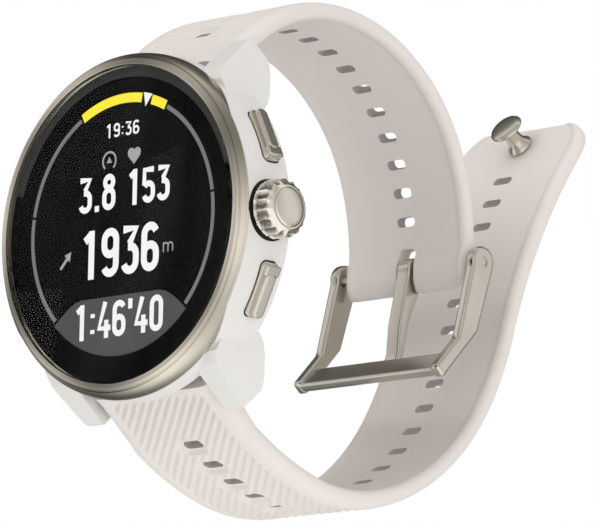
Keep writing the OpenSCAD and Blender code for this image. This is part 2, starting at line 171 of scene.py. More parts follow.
def brushed_group():
    """Brush marks: long in one direction, fine in the other two. Round 1 turns them round y. Its
    sheen output is a painted highlight and shade in lobes round y.
    """
    tree, start, end = new_group(
        "brushed_lines_and_painted_sheen", [("Fine Scale", 9000), ("Round", 0)], ["Lines", "Cloud", "Painted Sheen"])
    place = tree.nodes.new("ShaderNodeTexCoord")
    split = tree.nodes.new("ShaderNodeSeparateXYZ")
    tree.links.new(place.outputs["Object"], split.inputs[0])
    turn = tree.nodes.new("ShaderNodeMath")
    turn.operation = "ARCTAN2"
    tree.links.new(split.outputs["Z"], turn.inputs[0])
    tree.links.new(split.outputs["X"], turn.inputs[1])
    angle = tree.nodes.new("ShaderNodeMath")
    angle.operation = "MULTIPLY"
    angle.inputs[1].default_value = 0.0006
    tree.links.new(turn.outputs[0], angle.inputs[0])
    flat = tree.nodes.new("ShaderNodeCombineXYZ")
    radius = tree.nodes.new("ShaderNodeVectorMath")
    radius.operation = "LENGTH"
    tree.links.new(split.outputs["X"], flat.inputs["X"])
    tree.links.new(split.outputs["Z"], flat.inputs["Y"])
    tree.links.new(flat.outputs[0], radius.inputs[0])
    ring = tree.nodes.new("ShaderNodeCombineXYZ")
    tree.links.new(angle.outputs[0], ring.inputs["X"])
    tree.links.new(radius.outputs["Value"], ring.inputs["Y"])
    tree.links.new(split.outputs["Y"], ring.inputs["Z"])
    long_z = tree.nodes.new("ShaderNodeMath")
    long_z.operation = "MULTIPLY"
    long_z.inputs[1].default_value = 0.03
    tree.links.new(split.outputs["Z"], long_z.inputs[0])
    straight = tree.nodes.new("ShaderNodeCombineXYZ")
    tree.links.new(split.outputs["X"], straight.inputs["X"])
    tree.links.new(split.outputs["Y"], straight.inputs["Y"])
    tree.links.new(long_z.outputs[0], straight.inputs["Z"])
    choose = tree.nodes.new("ShaderNodeMix")
    choose.data_type = "VECTOR"
    tree.links.new(start.outputs["Round"], choose.inputs["Factor"])
    tree.links.new(straight.outputs[0], choose.inputs["A"])
    tree.links.new(ring.outputs[0], choose.inputs["B"])
    lines = tree.nodes.new("ShaderNodeTexNoise")
    lines.inputs["Detail"].default_value = 4
    tree.links.new(choose.outputs["Result"], lines.inputs["Vector"])
    tree.links.new(start.outputs["Fine Scale"], lines.inputs["Scale"])
    cloud = tree.nodes.new("ShaderNodeTexNoise")
    cloud.inputs["Scale"].default_value = 90
    tree.links.new(place.outputs["Object"], cloud.inputs["Vector"])
    tree.links.new(lines.outputs["Fac"], end.inputs["Lines"])
    tree.links.new(cloud.outputs["Fac"], end.inputs["Cloud"])
    # painted sheen round the dial: painted highlights and shade in two broad lobes and six
    # narrow ones, for painting into a colour
    painted_sheens = []
    for lobes, start_angle, share in ((2, 1.2, 0.4), (6, 0.6, 0.6)):
        phase = tree.nodes.new("ShaderNodeMath")
        phase.operation = "MULTIPLY_ADD"
        phase.inputs[1].default_value = lobes
        phase.inputs[2].default_value = start_angle
        wave = tree.nodes.new("ShaderNodeMath")
        wave.operation = "COSINE"
        part = tree.nodes.new("ShaderNodeMath")
        part.operation = "MULTIPLY"
        part.inputs[1].default_value = share
        tree.links.new(turn.outputs[0], phase.inputs[0])
        tree.links.new(phase.outputs[0], wave.inputs[0])
        tree.links.new(wave.outputs[0], part.inputs[0])
        painted_sheens.append(part.outputs[0])
    painted_sheen = tree.nodes.new("ShaderNodeMath")
    tree.links.new(painted_sheens[0], painted_sheen.inputs[0])
    tree.links.new(painted_sheens[1], painted_sheen.inputs[1])
    tree.links.new(painted_sheen.outputs[0], end.inputs["Painted Sheen"])
    return tree


def shared_group(name, build):
    return bpy.data.node_groups.get(name) or build()


# ---------------------------------------------------------------- materials
def new_material(name, colour, metallic=0.0, **sockets):
    """A material with its Principled node; sockets are set by name, underscores for spaces."""
    material = bpy.data.materials.new(name)
    material.use_nodes = True
    material.diffuse_color = (*colour, 1)
    shader = material.node_tree.nodes["Principled BSDF"]
    shader.inputs["Base Color"].default_value = (*colour, 1)
    shader.inputs["Metallic"].default_value = metallic
    for label, value in sockets.items():
        shader.inputs[label.replace("_", " ")].default_value = value
    return material, shader


def ramp(tree, factor, low, high, socket):
    """Links factor, stretched to run from low to high, into socket."""
    node = tree.nodes.new("ShaderNodeMapRange")
    node.inputs["From Min"].default_value = 0.3
    node.inputs["From Max"].default_value = 0.7
    node.inputs["To Min"].default_value = low
    node.inputs["To Max"].default_value = high
    tree.links.new(factor, node.inputs["Value"])
    tree.links.new(node.outputs["Result"], socket)


def tint(tree, factor, colour, spread, socket):
    """Links a colour that drifts by spread either side of colour into socket."""
    mix = tree.nodes.new("ShaderNodeMix")
    mix.data_type = "RGBA"
    mix.inputs["A"].default_value = (*[c * (1 - spread) for c in colour], 1)
    mix.inputs["B"].default_value = (*[min(1, c * (1 + spread)) for c in colour], 1)
    tree.links.new(factor, mix.inputs["Factor"])
    tree.links.new(mix.outputs["Result"], socket)


def bump(tree, height, shader, strength, distance):
    node = tree.nodes.new("ShaderNodeBump")
    node.inputs["Strength"].default_value = strength
    node.inputs["Distance"].default_value = distance
    tree.links.new(height, node.inputs["Height"])
    tree.links.new(node.outputs["Normal"], shader.inputs["Normal"])


def moulded(name, colour, rough, grain=4000, mottle=60, spread=0.03, strength=0.25, **sockets):
    """A moulded polymer or rubber, with grain and a slight mottle."""
    material, shader = new_material(name, colour, **sockets)
    tree = material.node_tree
    group = tree.nodes.new("ShaderNodeGroup")
    group.node_tree = shared_group("moulded_grain", grain_group)
    group.inputs["Grain Scale"].default_value = grain
    group.inputs["Mottle Scale"].default_value = mottle
    tint(tree, group.outputs["Mottle"], colour, spread, shader.inputs["Base Color"])
    ramp(tree, group.outputs["Height"], rough - 0.06, rough + 0.06, shader.inputs["Roughness"])
    bump(tree, group.outputs["Height"], shader, strength, 0.00005)
    return material


def scale_colour(tree, level, socket):
    """Multiplies the colour that already feeds socket by level."""
    shade = tree.nodes.new("ShaderNodeVectorMath")
    shade.operation = "SCALE"
    tree.links.new(socket.links[0].from_socket, shade.inputs[0])
    tree.links.new(level, shade.inputs["Scale"])
    tree.links.new(shade.outputs[0], socket)


def add_painted_sheen(tree, painted_sheen, socket):
    """Darkens a colour where the sheen runs from 1 down to -1: painted shade between painted
    highlights.
    """
    level = tree.nodes.new("ShaderNodeMath")
    level.operation = "MULTIPLY_ADD"
    level.inputs[1].default_value = 0.42
    level.inputs[2].default_value = 0.72
    tree.links.new(painted_sheen, level.inputs[0])
    scale_colour(tree, level.outputs[0], socket)


def shade_flutes(material):
    """Painted shade: darkens the colour in the hollows between the crown's teeth, behind its
    front chamfer.
    """
    tree = material.node_tree
    place = tree.nodes.new("ShaderNodeTexCoord")
    centred = tree.nodes.new("ShaderNodeVectorMath")
    centred.inputs[1].default_value = (0, CROWN_HEIGHT * MM, 0)
    tree.links.new(place.outputs["Object"], centred.inputs[0])
    across = tree.nodes.new("ShaderNodeVectorMath")
    across.operation = "MULTIPLY"
    across.inputs[1].default_value = (0, 1, 1)
    tree.links.new(centred.outputs[0], across.inputs[0])
    radius = tree.nodes.new("ShaderNodeVectorMath")
    radius.operation = "LENGTH"
    tree.links.new(across.outputs[0], radius.inputs[0])
    along = tree.nodes.new("ShaderNodeSeparateXYZ")
    tree.links.new(place.outputs["Object"], along.inputs[0])
    levels = []
    for source, low, high, dark in ((radius.outputs["Value"], 3.3, 3.75, 0.22),
                                    (along.outputs["X"], 24.6, 25.1, 0.0)):
        level = tree.nodes.new("ShaderNodeMapRange")
        level.inputs["From Min"].default_value = low * MM
        level.inputs["From Max"].default_value = high * MM
        level.inputs["To Min"].default_value = dark
        tree.links.new(source, level.inputs["Value"])
        levels.append(level.outputs["Result"])
    lighter = tree.nodes.new("ShaderNodeMath")
    lighter.operation = "MAXIMUM"
    tree.links.new(levels[0], lighter.inputs[0])
    tree.links.new(levels[1], lighter.inputs[1])
    scale_colour(tree, lighter.outputs[0],
                 tree.nodes["Principled BSDF"].inputs["Base Color"])


def brushed(name, colour, rough, round_dial=0.0, fine=9000, strength=0.12, spread=0.07):
    """A brushed or satin metal."""
    material, shader = new_material(name, colour, metallic=1.0)
    tree = material.node_tree
    group = tree.nodes.new("ShaderNodeGroup")
    group.node_tree = shared_group("brushed_lines_and_painted_sheen", brushed_group)
    group.inputs["Fine Scale"].default_value = fine
    group.inputs["Round"].default_value = round_dial
    tint(tree, group.outputs["Lines"], colour, spread, shader.inputs["Base Color"])
    # a round dial has the painted sheen, painted highlights and shade, in its colour
    if round_dial:
        add_painted_sheen(tree, group.outputs["Painted Sheen"], shader.inputs["Base Color"])
    ramp(tree, group.outputs["Cloud"], rough - 0.05, rough + 0.05, shader.inputs["Roughness"])
    bump(tree, group.outputs["Lines"], shader, strength, 0.00002)
    return material


def lit(name, colour, strength):
    """A lit part of the display, with a faint dot grid in its brightness."""
    material, shader = new_material(name, (0.01, 0.01, 0.01), Roughness=0.4)
    tree = material.node_tree
    place = tree.nodes.new("ShaderNodeTexCoord")
    dots = tree.nodes.new("ShaderNodeTexChecker")
    dots.inputs["Scale"].default_value = 8000
    dots.inputs["Color1"].default_value = (*colour, 1)
    dots.inputs["Color2"].default_value = (*[c * 0.93 for c in colour], 1)
    tree.links.new(place.outputs["Object"], dots.inputs["Vector"])
    tree.links.new(dots.outputs["Color"], shader.inputs["Emission Color"])
    shader.inputs["Emission Strength"].default_value = strength
    return material


def make_materials():
    looks = look_settings()
    silicone, polymer = tuple(looks.silicone), tuple(looks.polymer)
    bezel, steel = tuple(looks.bezel), tuple(looks.steel)
    moulded("soft_silicone", silicone, 0.56, grain=5000, mottle=45, spread=0.03, strength=0.2,
            Specular_IOR_Level=0.35, Sheen_Weight=0.08)
    # a darker copy of the silicone: painted shade for the walls of the slots
    moulded("silicone_shade", tuple(c * 0.58 for c in silicone), 0.7, spread=0.05)
    moulded("shell_polymer", polymer, 0.42, grain=7000, mottle=80, spread=0.02, strength=0.15)
    # near black: painted shade for the crown's recess and the button pockets
    moulded("gap_shade", (0.05, 0.05, 0.05), 0.6, grain=6000, spread=0.1)
    moulded("black_polymer", (0.03, 0.03, 0.033), 0.5, grain=6000, spread=0.1, strength=0.3)
    moulded("seal_rubber", (0.012, 0.012, 0.012), 0.65, grain=4000, spread=0.2)
    moulded("solder_mask", (0.01, 0.09, 0.035), 0.3, grain=2500, spread=0.15)
    moulded("bare_copper", (0.55, 0.25, 0.1), 0.35, grain=3000, spread=0.08)
    moulded("pouch_foil", (0.62, 0.62, 0.64), 0.3, grain=1500, spread=0.05)
    moulded("gold_plate", (0.75, 0.52, 0.18), 0.22, grain=3000, spread=0.05)
    for name in ("bare_copper", "pouch_foil", "gold_plate"):
        shader = bpy.data.materials[name].node_tree.nodes["Principled BSDF"]
        shader.inputs["Metallic"].default_value = 1.0
    moulded("sensor_resin", (0.06, 0.32, 0.12), 0.2, grain=2000, spread=0.2)
    moulded("dark_window", (0.006, 0.006, 0.008), 0.09, grain=900, spread=0.3, strength=0.02,
            Coat_Weight=0.5)
    moulded("display_black", (0.0012, 0.0012, 0.0013), 0.5, grain=900, spread=0.2, strength=0.0,
            Specular_IOR_Level=0.02)
    moulded("display_field", (0.004, 0.004, 0.0043), 0.5, grain=900, spread=0.1, strength=0.0,
            Specular_IOR_Level=0.02)
    # the bezel's colour carries the painted sheen of highlights and shade
    ring_steel = brushed("ring_steel", bezel, 0.3, round_dial=1.0)
    shader = ring_steel.node_tree.nodes["Principled BSDF"]
    shader.inputs["Anisotropic"].default_value = 0.75
    tangent = ring_steel.node_tree.nodes.new("ShaderNodeTangent")
    tangent.direction_type = "RADIAL"
    tangent.axis = "Y"
    ring_steel.node_tree.links.new(tangent.outputs["Tangent"], shader.inputs["Tangent"])
    brushed("satin_steel", steel, 0.24)
    # the crown's colour has painted shade in the hollows of its flutes
    shade_flutes(brushed("fluted_steel", tuple(c * 1.3 for c in steel), 0.16, strength=0.04))
    brushed("domed_steel", tuple(c * 1.3 for c in steel), 0.3)
    lit("lit_white", (0.93, 0.93, 0.93), 1.0)
    lit("lit_grey", (0.17, 0.165, 0.175), 1.0)
    lit("lit_icon", (0.36, 0.36, 0.36), 1.0)
    lit("lit_panel", (0.048, 0.048, 0.048), 1.0)
    lit("lit_zone", tuple(looks.zone), 1.0)
    new_material("watch_glass", (0.97, 0.97, 0.98), Roughness=0.02, IOR=1.12,
                 Transmission_Weight=1.0)


SLOT_MATERIAL = {
    "case_polymer": "shell_polymer", "bezel_steel": "ring_steel", "steel": "satin_steel",
    "lens": "watch_glass", "display": "display_black", "silicone": "soft_silicone",
    "inner_polymer": "black_polymer", "rubber": "seal_rubber", "circuit": "solder_mask",
    "copper": "bare_copper", "brass": "gold_plate", "foil": "pouch_foil",
    "window": "dark_window", "optics": "sensor_resin",
}


# ---------------------------------------------------------------- mesh helpers (millimetres)
def turned(bm, outline, place=DIAL, steps=128, closed=False):
    """Spins an outline of (radius, height) about local z, and puts it at place."""
    verts = [bm.verts.new((radius, 0, height)) for radius, height in outline]
    pairs = list(zip(verts, verts[1:]))
    if closed:
        pairs.append((verts[-1], verts[0]))
    edges = [bm.edges.new(pair) for pair in pairs]
    before = set(bm.verts) - set(verts)
    bmesh.ops.spin(bm, geom=verts + edges, cent=(0, 0, 0), axis=(0, 0, 1), dvec=(0, 0, 0),
                   angle=math.tau, steps=steps, use_merge=True, use_duplicate=False)
    made = [v for v in bm.verts if v not in before]
    bmesh.ops.transform(bm, matrix=place, verts=made)
    return made


def prism(bm, outline, start, end, place=Matrix(), bevel=0.0, segments=3):
    """A plate: an outline of (x, y) raised from z = start to z = end, edges rounded by bevel."""
    verts = [bm.verts.new((x, y, start)) for x, y in outline]
    face = bm.faces.new(verts)
    before = set(bm.verts) - set(verts)
    up = bmesh.ops.extrude_face_region(bm, geom=[face])
    raised = [g for g in up["geom"] if isinstance(g, bmesh.types.BMVert)]
    bmesh.ops.translate(bm, vec=(0, 0, end - start), verts=raised)
    made = [v for v in bm.verts if v not in before]
    faces = list({f for v in made for f in v.link_faces})
    bmesh.ops.recalc_face_normals(bm, faces=faces)
    if bevel:
        edges = list({e for f in faces for e in f.edges if e.calc_face_angle(0) > 0.35})
        bmesh.ops.bevel(bm, geom=edges, offset=bevel, offset_type="OFFSET", affect="EDGES",
                        segments=segments, profile=0.5, material=-1, clamp_overlap=True)
        made = [v for v in bm.verts if v not in before]
    bmesh.ops.transform(bm, matrix=place, verts=made)
    return made


def combine(bm, other, operation):
    """A new mesh: bm joined with, or cut by, other. Both are used up."""
    objects = []
    for source in (bm, other):
        mesh = bpy.data.meshes.new("work")
        source.to_mesh(mesh)
        source.free()
        obj = bpy.data.objects.new("work", mesh)
        bpy.context.scene.collection.objects.link(obj)
        objects.append(obj)
    modifier = objects[0].modifiers.new("combine", "BOOLEAN")
    modifier.operation = operation
    modifier.solver = "EXACT"
    modifier.object = objects[1]
    result = bmesh.new()
    result.from_object(objects[0], bpy.context.evaluated_depsgraph_get())
    for obj in objects:
        bpy.data.objects.remove(obj)
    return result


def finish_piece(bm, name, body, materials, replaces=(), sharp=32, flats=False):
    """Turns a mesh in millimetres into a piece of the watch. flats keeps flat faces flat."""
    bmesh.ops.remove_doubles(bm, verts=bm.verts, dist=0.0005)
    bmesh.ops.dissolve_degenerate(bm, edges=bm.edges, dist=0.0002)
    bmesh.ops.recalc_face_normals(bm, faces=bm.faces)
    bmesh.ops.scale(bm, vec=(MM, MM, MM), verts=bm.verts)
    mesh = bpy.data.meshes.new(name)
    bm.to_mesh(mesh)
    bm.free()
    mesh.shade_smooth()
    mesh.set_sharp_from_angle(angle=math.radians(sharp))
    for material in materials:
        mesh.materials.append(bpy.data.materials[material])
    piece = bpy.data.objects.new(name, mesh)
    bpy.context.scene.collection.objects.link(piece)
    if flats:
        weighted = piece.modifiers.new("flats", "WEIGHTED_NORMAL")
        weighted.keep_sharp = True
    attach(piece, body)
    if replaces:
        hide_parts(*replaces)
    return piece


def smooth(value, low, high):
    """0 at low, 1 at high, eased between."""
    t = min(1, max(0, (value - low) / (high - low)))
    return t * t * (3 - 2 * t)


# ---------------------------------------------------------------- case
def skirt_rise(v):
    """How far the seam between bezel and case climbs at this place round the dial."""
    across = abs(v.co.z) * CASE_RADIUS / max(1, math.hypot(v.co.x, v.co.z))
    return RAMP_RISE * (1 - min(1, max(0, (across - RAMP_IN) / RAMP_RUN)))


def seam_follow(verts, low, top):
    """Lifts the vertices above height low by the seam's climb, and no higher than top."""
    for v in verts:
        height = -v.co.y
        if height > low:
            v.co.y = -min(top, height + skirt_rise(v))


def lug_mesh():
    bm = bmesh.new()
    side = [(13, 6.7), (17.5, 8.6), (19.2, 7.8), (20.2, 6.7), (23.7, 2.5), (23.9, 1.9),
            (22.9, 0.9), (21.5, -0.6), (20.6, -0.8), (19.6, -0.75), (17, -0.2),
            (15.4, 0.5), (13, 2.7)]
    place = Matrix(((0, 0, 1, 0), (0, -1, 0, 0), (1, 0, 0, 0), (0, 0, 0, 1)))
    prism(bm, side, 11.05, 19.6, place)
    plan = [(13.9, 25), (14.2, 23.6), (15.3, 22), (17.2, 18.6), (18.9, 14.6), (19.4, 12)]
    for (x0, z0), (x1, z1) in zip(plan, plan[1:]):
        normal = Vector((z0 - z1, 0, x1 - x0))
        cut = bmesh.ops.bisect_plane(
            bm, geom=bm.verts[:] + bm.edges[:] + bm.faces[:], dist=0.0001,
            plane_co=(x0, 0, z0), plane_no=normal, clear_outer=True)
        rim = [g for g in cut["geom_cut"] if isinstance(g, bmesh.types.BMEdge)]
        bmesh.ops.holes_fill(bm, edges=rim)
    bmesh.ops.recalc_face_normals(bm, faces=bm.faces)
    edges = [e for e in bm.edges if e.calc_face_angle(0) > 0.25
             and min(v.co.z for v in e.verts) > 13.5]
    bmesh.ops.bevel(bm, geom=edges, offset=0.45, offset_type="OFFSET", affect="EDGES",
                    segments=3, profile=0.5, material=-1, clamp_overlap=True)
    return bm


def mirrored(bm, x_side, z_side):
    bmesh.ops.scale(bm, vec=(x_side, 1, z_side), verts=bm.verts)
    if x_side * z_side < 0:
        bmesh.ops.reverse_faces(bm, faces=bm.faces)
    return bm


def button_place(side):
    angle = case_settings().button_angle * side
    turn = Matrix.Rotation(-angle, 4, "Y")
    return turn @ Matrix.Translation((0, -BUTTON_HEIGHT, 0)) @ Matrix.Rotation(
        math.radians(90), 4, "Y")


def in_gap(point):
    """Whether a point of the case is inside the crown's recess or a button's pocket."""
    if point.x > 21.5 and math.hypot(point.y + CROWN_HEIGHT, point.z) < 3.97:
        return True
    for side in (1, -1):
        local = button_place(side).inverted() @ point
        if abs(local.x) < 3.9 and abs(local.y) < 1.6 and 20 < local.z < 22:
            return True
    return False


def rounded_box(bm, size, centre, place, corner, edge=0.0, corner_segments=6):
    """A box of local (height, length, rise) sizes whose upright corners are rounded."""
    cube = bmesh.ops.create_cube(bm, size=1)["verts"]
    bmesh.ops.scale(bm, vec=size, verts=cube)
    before = set(bm.verts) - set(cube)
    upright = {e for v in cube for e in v.link_edges
               if abs((e.verts[0].co - e.verts[1].co).normalized().z) > 0.9}
    bmesh.ops.bevel(bm, geom=list(upright), offset=corner, offset_type="OFFSET",
                    affect="EDGES", segments=corner_segments, profile=0.5, material=-1)
    if edge:
        made = [v for v in bm.verts if v not in before]
        top = {e for v in made for e in v.link_edges
               if e.calc_face_angle(0) > 1.2 and min(w.co.z for w in e.verts) > 0}
        bmesh.ops.bevel(bm, geom=list(top), offset=edge, offset_type="OFFSET",
                        affect="EDGES", segments=3, profile=0.5, material=-1)
    made = [v for v in bm.verts if v not in before]
    bmesh.ops.translate(bm, vec=centre, verts=made)
    bmesh.ops.transform(bm, matrix=place, verts=made)
    return made


class WATCH_OT_materials(bpy.types.Operator):
    """Makes the watch's materials and puts them on the frame's own nodes"""
    bl_idname = "watch.materials"
    bl_label = "Materials"

    def execute(self, context):
        make_materials()
        slots = {s["node"]: s["material_slot"] for s in frame["record"]["subparts"]}
        for node, obj in frame["nodes"].items():
            obj.data.materials.clear()
            obj.data.materials.append(bpy.data.materials[SLOT_MATERIAL[slots[node]]])
        return {"FINISHED"}


class WATCH_OT_case(bpy.types.Operator):
    """Builds the case with its lugs, button pockets and crown recess"""
    bl_idname = "watch.case"
    bl_label = "Case"

    def execute(self, context):
        body = bmesh.new()
        outline = [(17.7, 2.6), (22.1, 2.6), (22.38, 2.7), (22.5, 3.0), (22.5, 6.4),
                   (22.46, 8.1), (22.4, 8.45), (22.25, 8.6), (21.08, 8.6), (21.08, 7.7),
                   (17.7, 7.7)]
        made = turned(body, outline, steps=256, closed=True)
        seam_follow(made, 8.2, 10.2)
        bmesh.ops.recalc_face_normals(body, faces=body.faces)
        for x_side in (1, -1):
            for z_side in (1, -1):
                body = combine(body, mirrored(lug_mesh(), x_side, z_side), "UNION")
        cutters = bmesh.new()
        for z_side in (1, -1):
            # room for the strap's thick end between the lugs
            place = Matrix.Diagonal((1, 1, z_side, 1))
            rounded_box(cutters, (22.1, 30, 30), (0, -6.2 + 15, 18.5 + 15), place, 0.01,
                        corner_segments=1)
        bmesh.ops.recalc_face_normals(cutters, faces=cutters.faces)
        body = combine(body, cutters, "DIFFERENCE")
        cutters = bmesh.new()
        turned(cutters, [(0, 21.6), (3.95, 21.6), (3.95, 25), (0, 25)], CROWN, 64)
        for side in (1, -1):
            rounded_box(cutters, (7.7, 3.1, 5), (0, 0, 22.8), button_place(side), 1.0)
        turned(cutters, [(0, 1.0), (21.65, 1.0), (21.65, 2.595), (0, 2.595)], DIAL, 128)
        bmesh.ops.recalc_face_normals(cutters, faces=cutters.faces)
        body = combine(body, cutters, "DIFFERENCE")
        # faces in the crown's recess and the button pockets take the near-black painted shade
        for face in body.faces:
            if in_gap(face.calc_center_median()):
                face.material_index = 1
        finish_piece(body, "case_shell", "case", ["shell_polymer", "gap_shade"],
                     ["mid_case"], sharp=28, flats=True)
        return {"FINISHED"}


class WATCH_OT_bezel(bpy.types.Operator):
    """Builds the steel bezel, whose foot climbs at 3 and 9 o'clock"""
    bl_idname = "watch.bezel"
    bl_label = "Bezel"

    def execute(self, context):
        bm = bmesh.new()
        outline = [(19.2, 9.4), (20.3, 9.4), (20.3, 8.75), (21.02, 8.75), (21.02, 8.66),
                   (21.04, 8.66), (22.3, 8.66), (22.44, 8.72), (22.44, 9.2), (22.38, 9.7),
                   (22.3, 10.1), (22.17, 10.45), (21.98, 10.75), (21.76, 10.97), (21.62, 10.9),
                   (21.52, 10.96), (21.58, 11.08), (21.56, 11.2), (21.42, 11.33),
                   (21.2, 11.38), (20.8, 11.4), (20.68, 11.36), (20.64, 11.25),
                   (20.64, 10.25), (19.2, 10.25)]
        made = turned(bm, outline, steps=256, closed=True)
        for v in made:
            height, radius = -v.co.y, math.hypot(v.co.x, v.co.z)
            if height < BEZEL_SHOULDER and radius > SPIGOT_RADIUS:
                # the skirt is squeezed into what the climbing foot leaves
                left = 1 - skirt_rise(v) / (BEZEL_SHOULDER - BEZEL_FOOT)
                v.co.y = -(BEZEL_SHOULDER - (BEZEL_SHOULDER - height) * left)
        finish_piece(bm, "bezel_ring", "case", ["ring_steel"], ["bezel"],
                     sharp=30)
        return {"FINISHED"}


class WATCH_OT_glass(bpy.types.Operator):
    """Builds the watch glass with its polished edge"""
    bl_idname = "watch.glass"
    bl_label = "Glass"

    def execute(self, context):
        bm = bmesh.new()
        turned(bm, [(0, 10.41), (20.5, 10.41), (20.58, 10.48), (20.58, 11.22), (20.5, 11.31),
                    (20.3, 11.38), (20.0, 11.4), (0, 11.4)], steps=128)
        finish_piece(bm, "watch_glass", "case", ["watch_glass"], ["glass_lens"],
                     sharp=50)
        return {"FINISHED"}


# ---------------------------------------------------------------- display figures
STROKE = 0.165          # width of a stroke, as a share of a figure's height
HALF = STROKE / 2
BOWL = 0.17            # radius of a bowl's centre line
TOP = 1 - HALF - BOWL   # centre height of a top bowl
FOOT = HALF + BOWL      # centre height of a bottom bowl


def bow(x, z, radius, start, end, steps=10):
    """Points on an arc, angles in degrees."""
    return [(x + radius * math.cos(math.radians(start + (end - start) * k / steps)),
             z + radius * math.sin(math.radians(start + (end - start) * k / steps)))
            for k in range(steps + 1)]


def glyph(sign):
    """A figure's strokes as lists of (x, z), one unit high and centred on x = 0."""
    loop = bow(0, TOP, BOWL, 180, 0) + bow(0, FOOT, BOWL, 0, -180) + [(-BOWL, TOP)]
    six = (bow(0, TOP, BOWL, 20, 180) + bow(0, FOOT, BOWL, 180, 360)
           + bow(0, 0.62 - HALF - BOWL, BOWL, 0, 180))
    strokes = {
        "0": [loop],
        "1": [[(0.03, 0), (0.03, 0.995)], [(0.03, 0.93), (-0.16, 0.79)]],
        "3": [[(-BOWL - 0.03, 1 - HALF), (BOWL, 1 - HALF), (-0.02, 0.62)],
              [(-0.06, 0.56), (0, 0.56)] + bow(0, 0.56 - BOWL, BOWL, 90, 0)
              + bow(0, FOOT, BOWL, 0, -165)],
        "4": [[(0.04, 1), (-BOWL - 0.02, 0.28), (BOWL + 0.08, 0.28)],
              [(0.09, 0.5), (0.09, 0)]],
        "5": [[(BOWL + 0.02, 1 - HALF), (-BOWL, 1 - HALF), (-BOWL, 0.5)],
              bow(0, 0.62 - HALF - BOWL, BOWL, 150, 0) + bow(0, FOOT, BOWL, 0, -165)],
        "6": [six],
        "8": [bow(0, 1 - HALF - 0.15, 0.15, -90, 270, 20),
              bow(0, FOOT + 0.14, BOWL, 0, 180) + bow(0, FOOT, BOWL, 180, 360)
              + [(BOWL, FOOT + 0.14)]],
        "9": [[(-x, 1 - z) for x, z in six]],
        ":": [[(0, 0.16), (0, 0.27)], [(0, 0.6), (0, 0.71)]],
        ".": [[(0, 0.0), (0, STROKE)]],
        "'": [[(0, 1), (0, 0.72)]],
        "m": [[(-0.62, 0), (-0.62, 1)],
              [(-0.62, 0.6)] + bow(-0.31, 0.62, 0.31, 150, 0) + [(0, 0)],
              [(0, 0.6)] + bow(0.31, 0.62, 0.31, 150, 0) + [(0.62, 0)]],
    }
    return strokes[sign]


ADVANCE = {":": 0.3, ".": 0.32, "'": 0.26, "m": 1.5}
DIGIT_ADVANCE = 0.57


def ribbon(bm, points, width, height):
    """A flat stroke of constant width along points, lying at a height above the wrist face."""
    curve = bpy.data.curves.new("stroke", "CURVE")
    curve.dimensions = "3D"
    curve.bevel_depth = width / 2
    curve.bevel_resolution = 1
    curve.use_fill_caps = True
    spline = curve.splines.new("POLY")
    spline.points.add(len(points) - 1)
    for spot, (x, z) in zip(spline.points, points):
        spot.co = (x, z, 0, 1)
    obj = bpy.data.objects.new("stroke", curve)
    mesh = bpy.data.meshes.new_from_object(obj)
    before = set(bm.verts)
    bm.from_mesh(mesh)
    made = [v for v in bm.verts if v not in before]
    bmesh.ops.scale(bm, vec=(1, 1, 0.01), verts=made)
    bmesh.ops.translate(bm, vec=(0, 0, height), verts=made)
    bmesh.ops.transform(bm, matrix=DIAL, verts=made)
    bpy.data.objects.remove(obj)
    bpy.data.curves.remove(curve)
    bpy.data.meshes.remove(mesh)


def write_figures(bm, signs, left, right, foot, tall, height, stroke=None):
    """Figures from left to right, tall high, standing on foot. All in millimetres."""
    advances = [ADVANCE.get(s, DIGIT_ADVANCE) for s in signs]
    across = right - left
    natural = sum(advances) - 0.07
    squeeze = across / (natural * tall)
    x = left
    for sign, advance in zip(signs, advances):
        middle = x + (advance - 0.07) / 2 * tall * squeeze
        for points in glyph(sign):
            placed = [(middle + px * tall * squeeze, foot + pz * tall) for px, pz in points]
            ribbon(bm, placed, stroke or STROKE * tall, height)
        x += advance * tall * squeeze


def arc_band(bm, inner, outer, start, end, height, thick=0.02):
    """A flat band round the dial between clock angles in degrees, 0 at 12 o'clock."""
    steps = max(2, int(abs(end - start) / 2))
    angles = [math.radians(90 - (start + (end - start) * k / steps)) for k in range(steps + 1)]
    outline = [(outer * math.cos(a), outer * math.sin(a)) for a in angles]
    outline += [(inner * math.cos(a), inner * math.sin(a)) for a in reversed(angles)]
    prism(bm, outline, height, height + thick, DIAL)


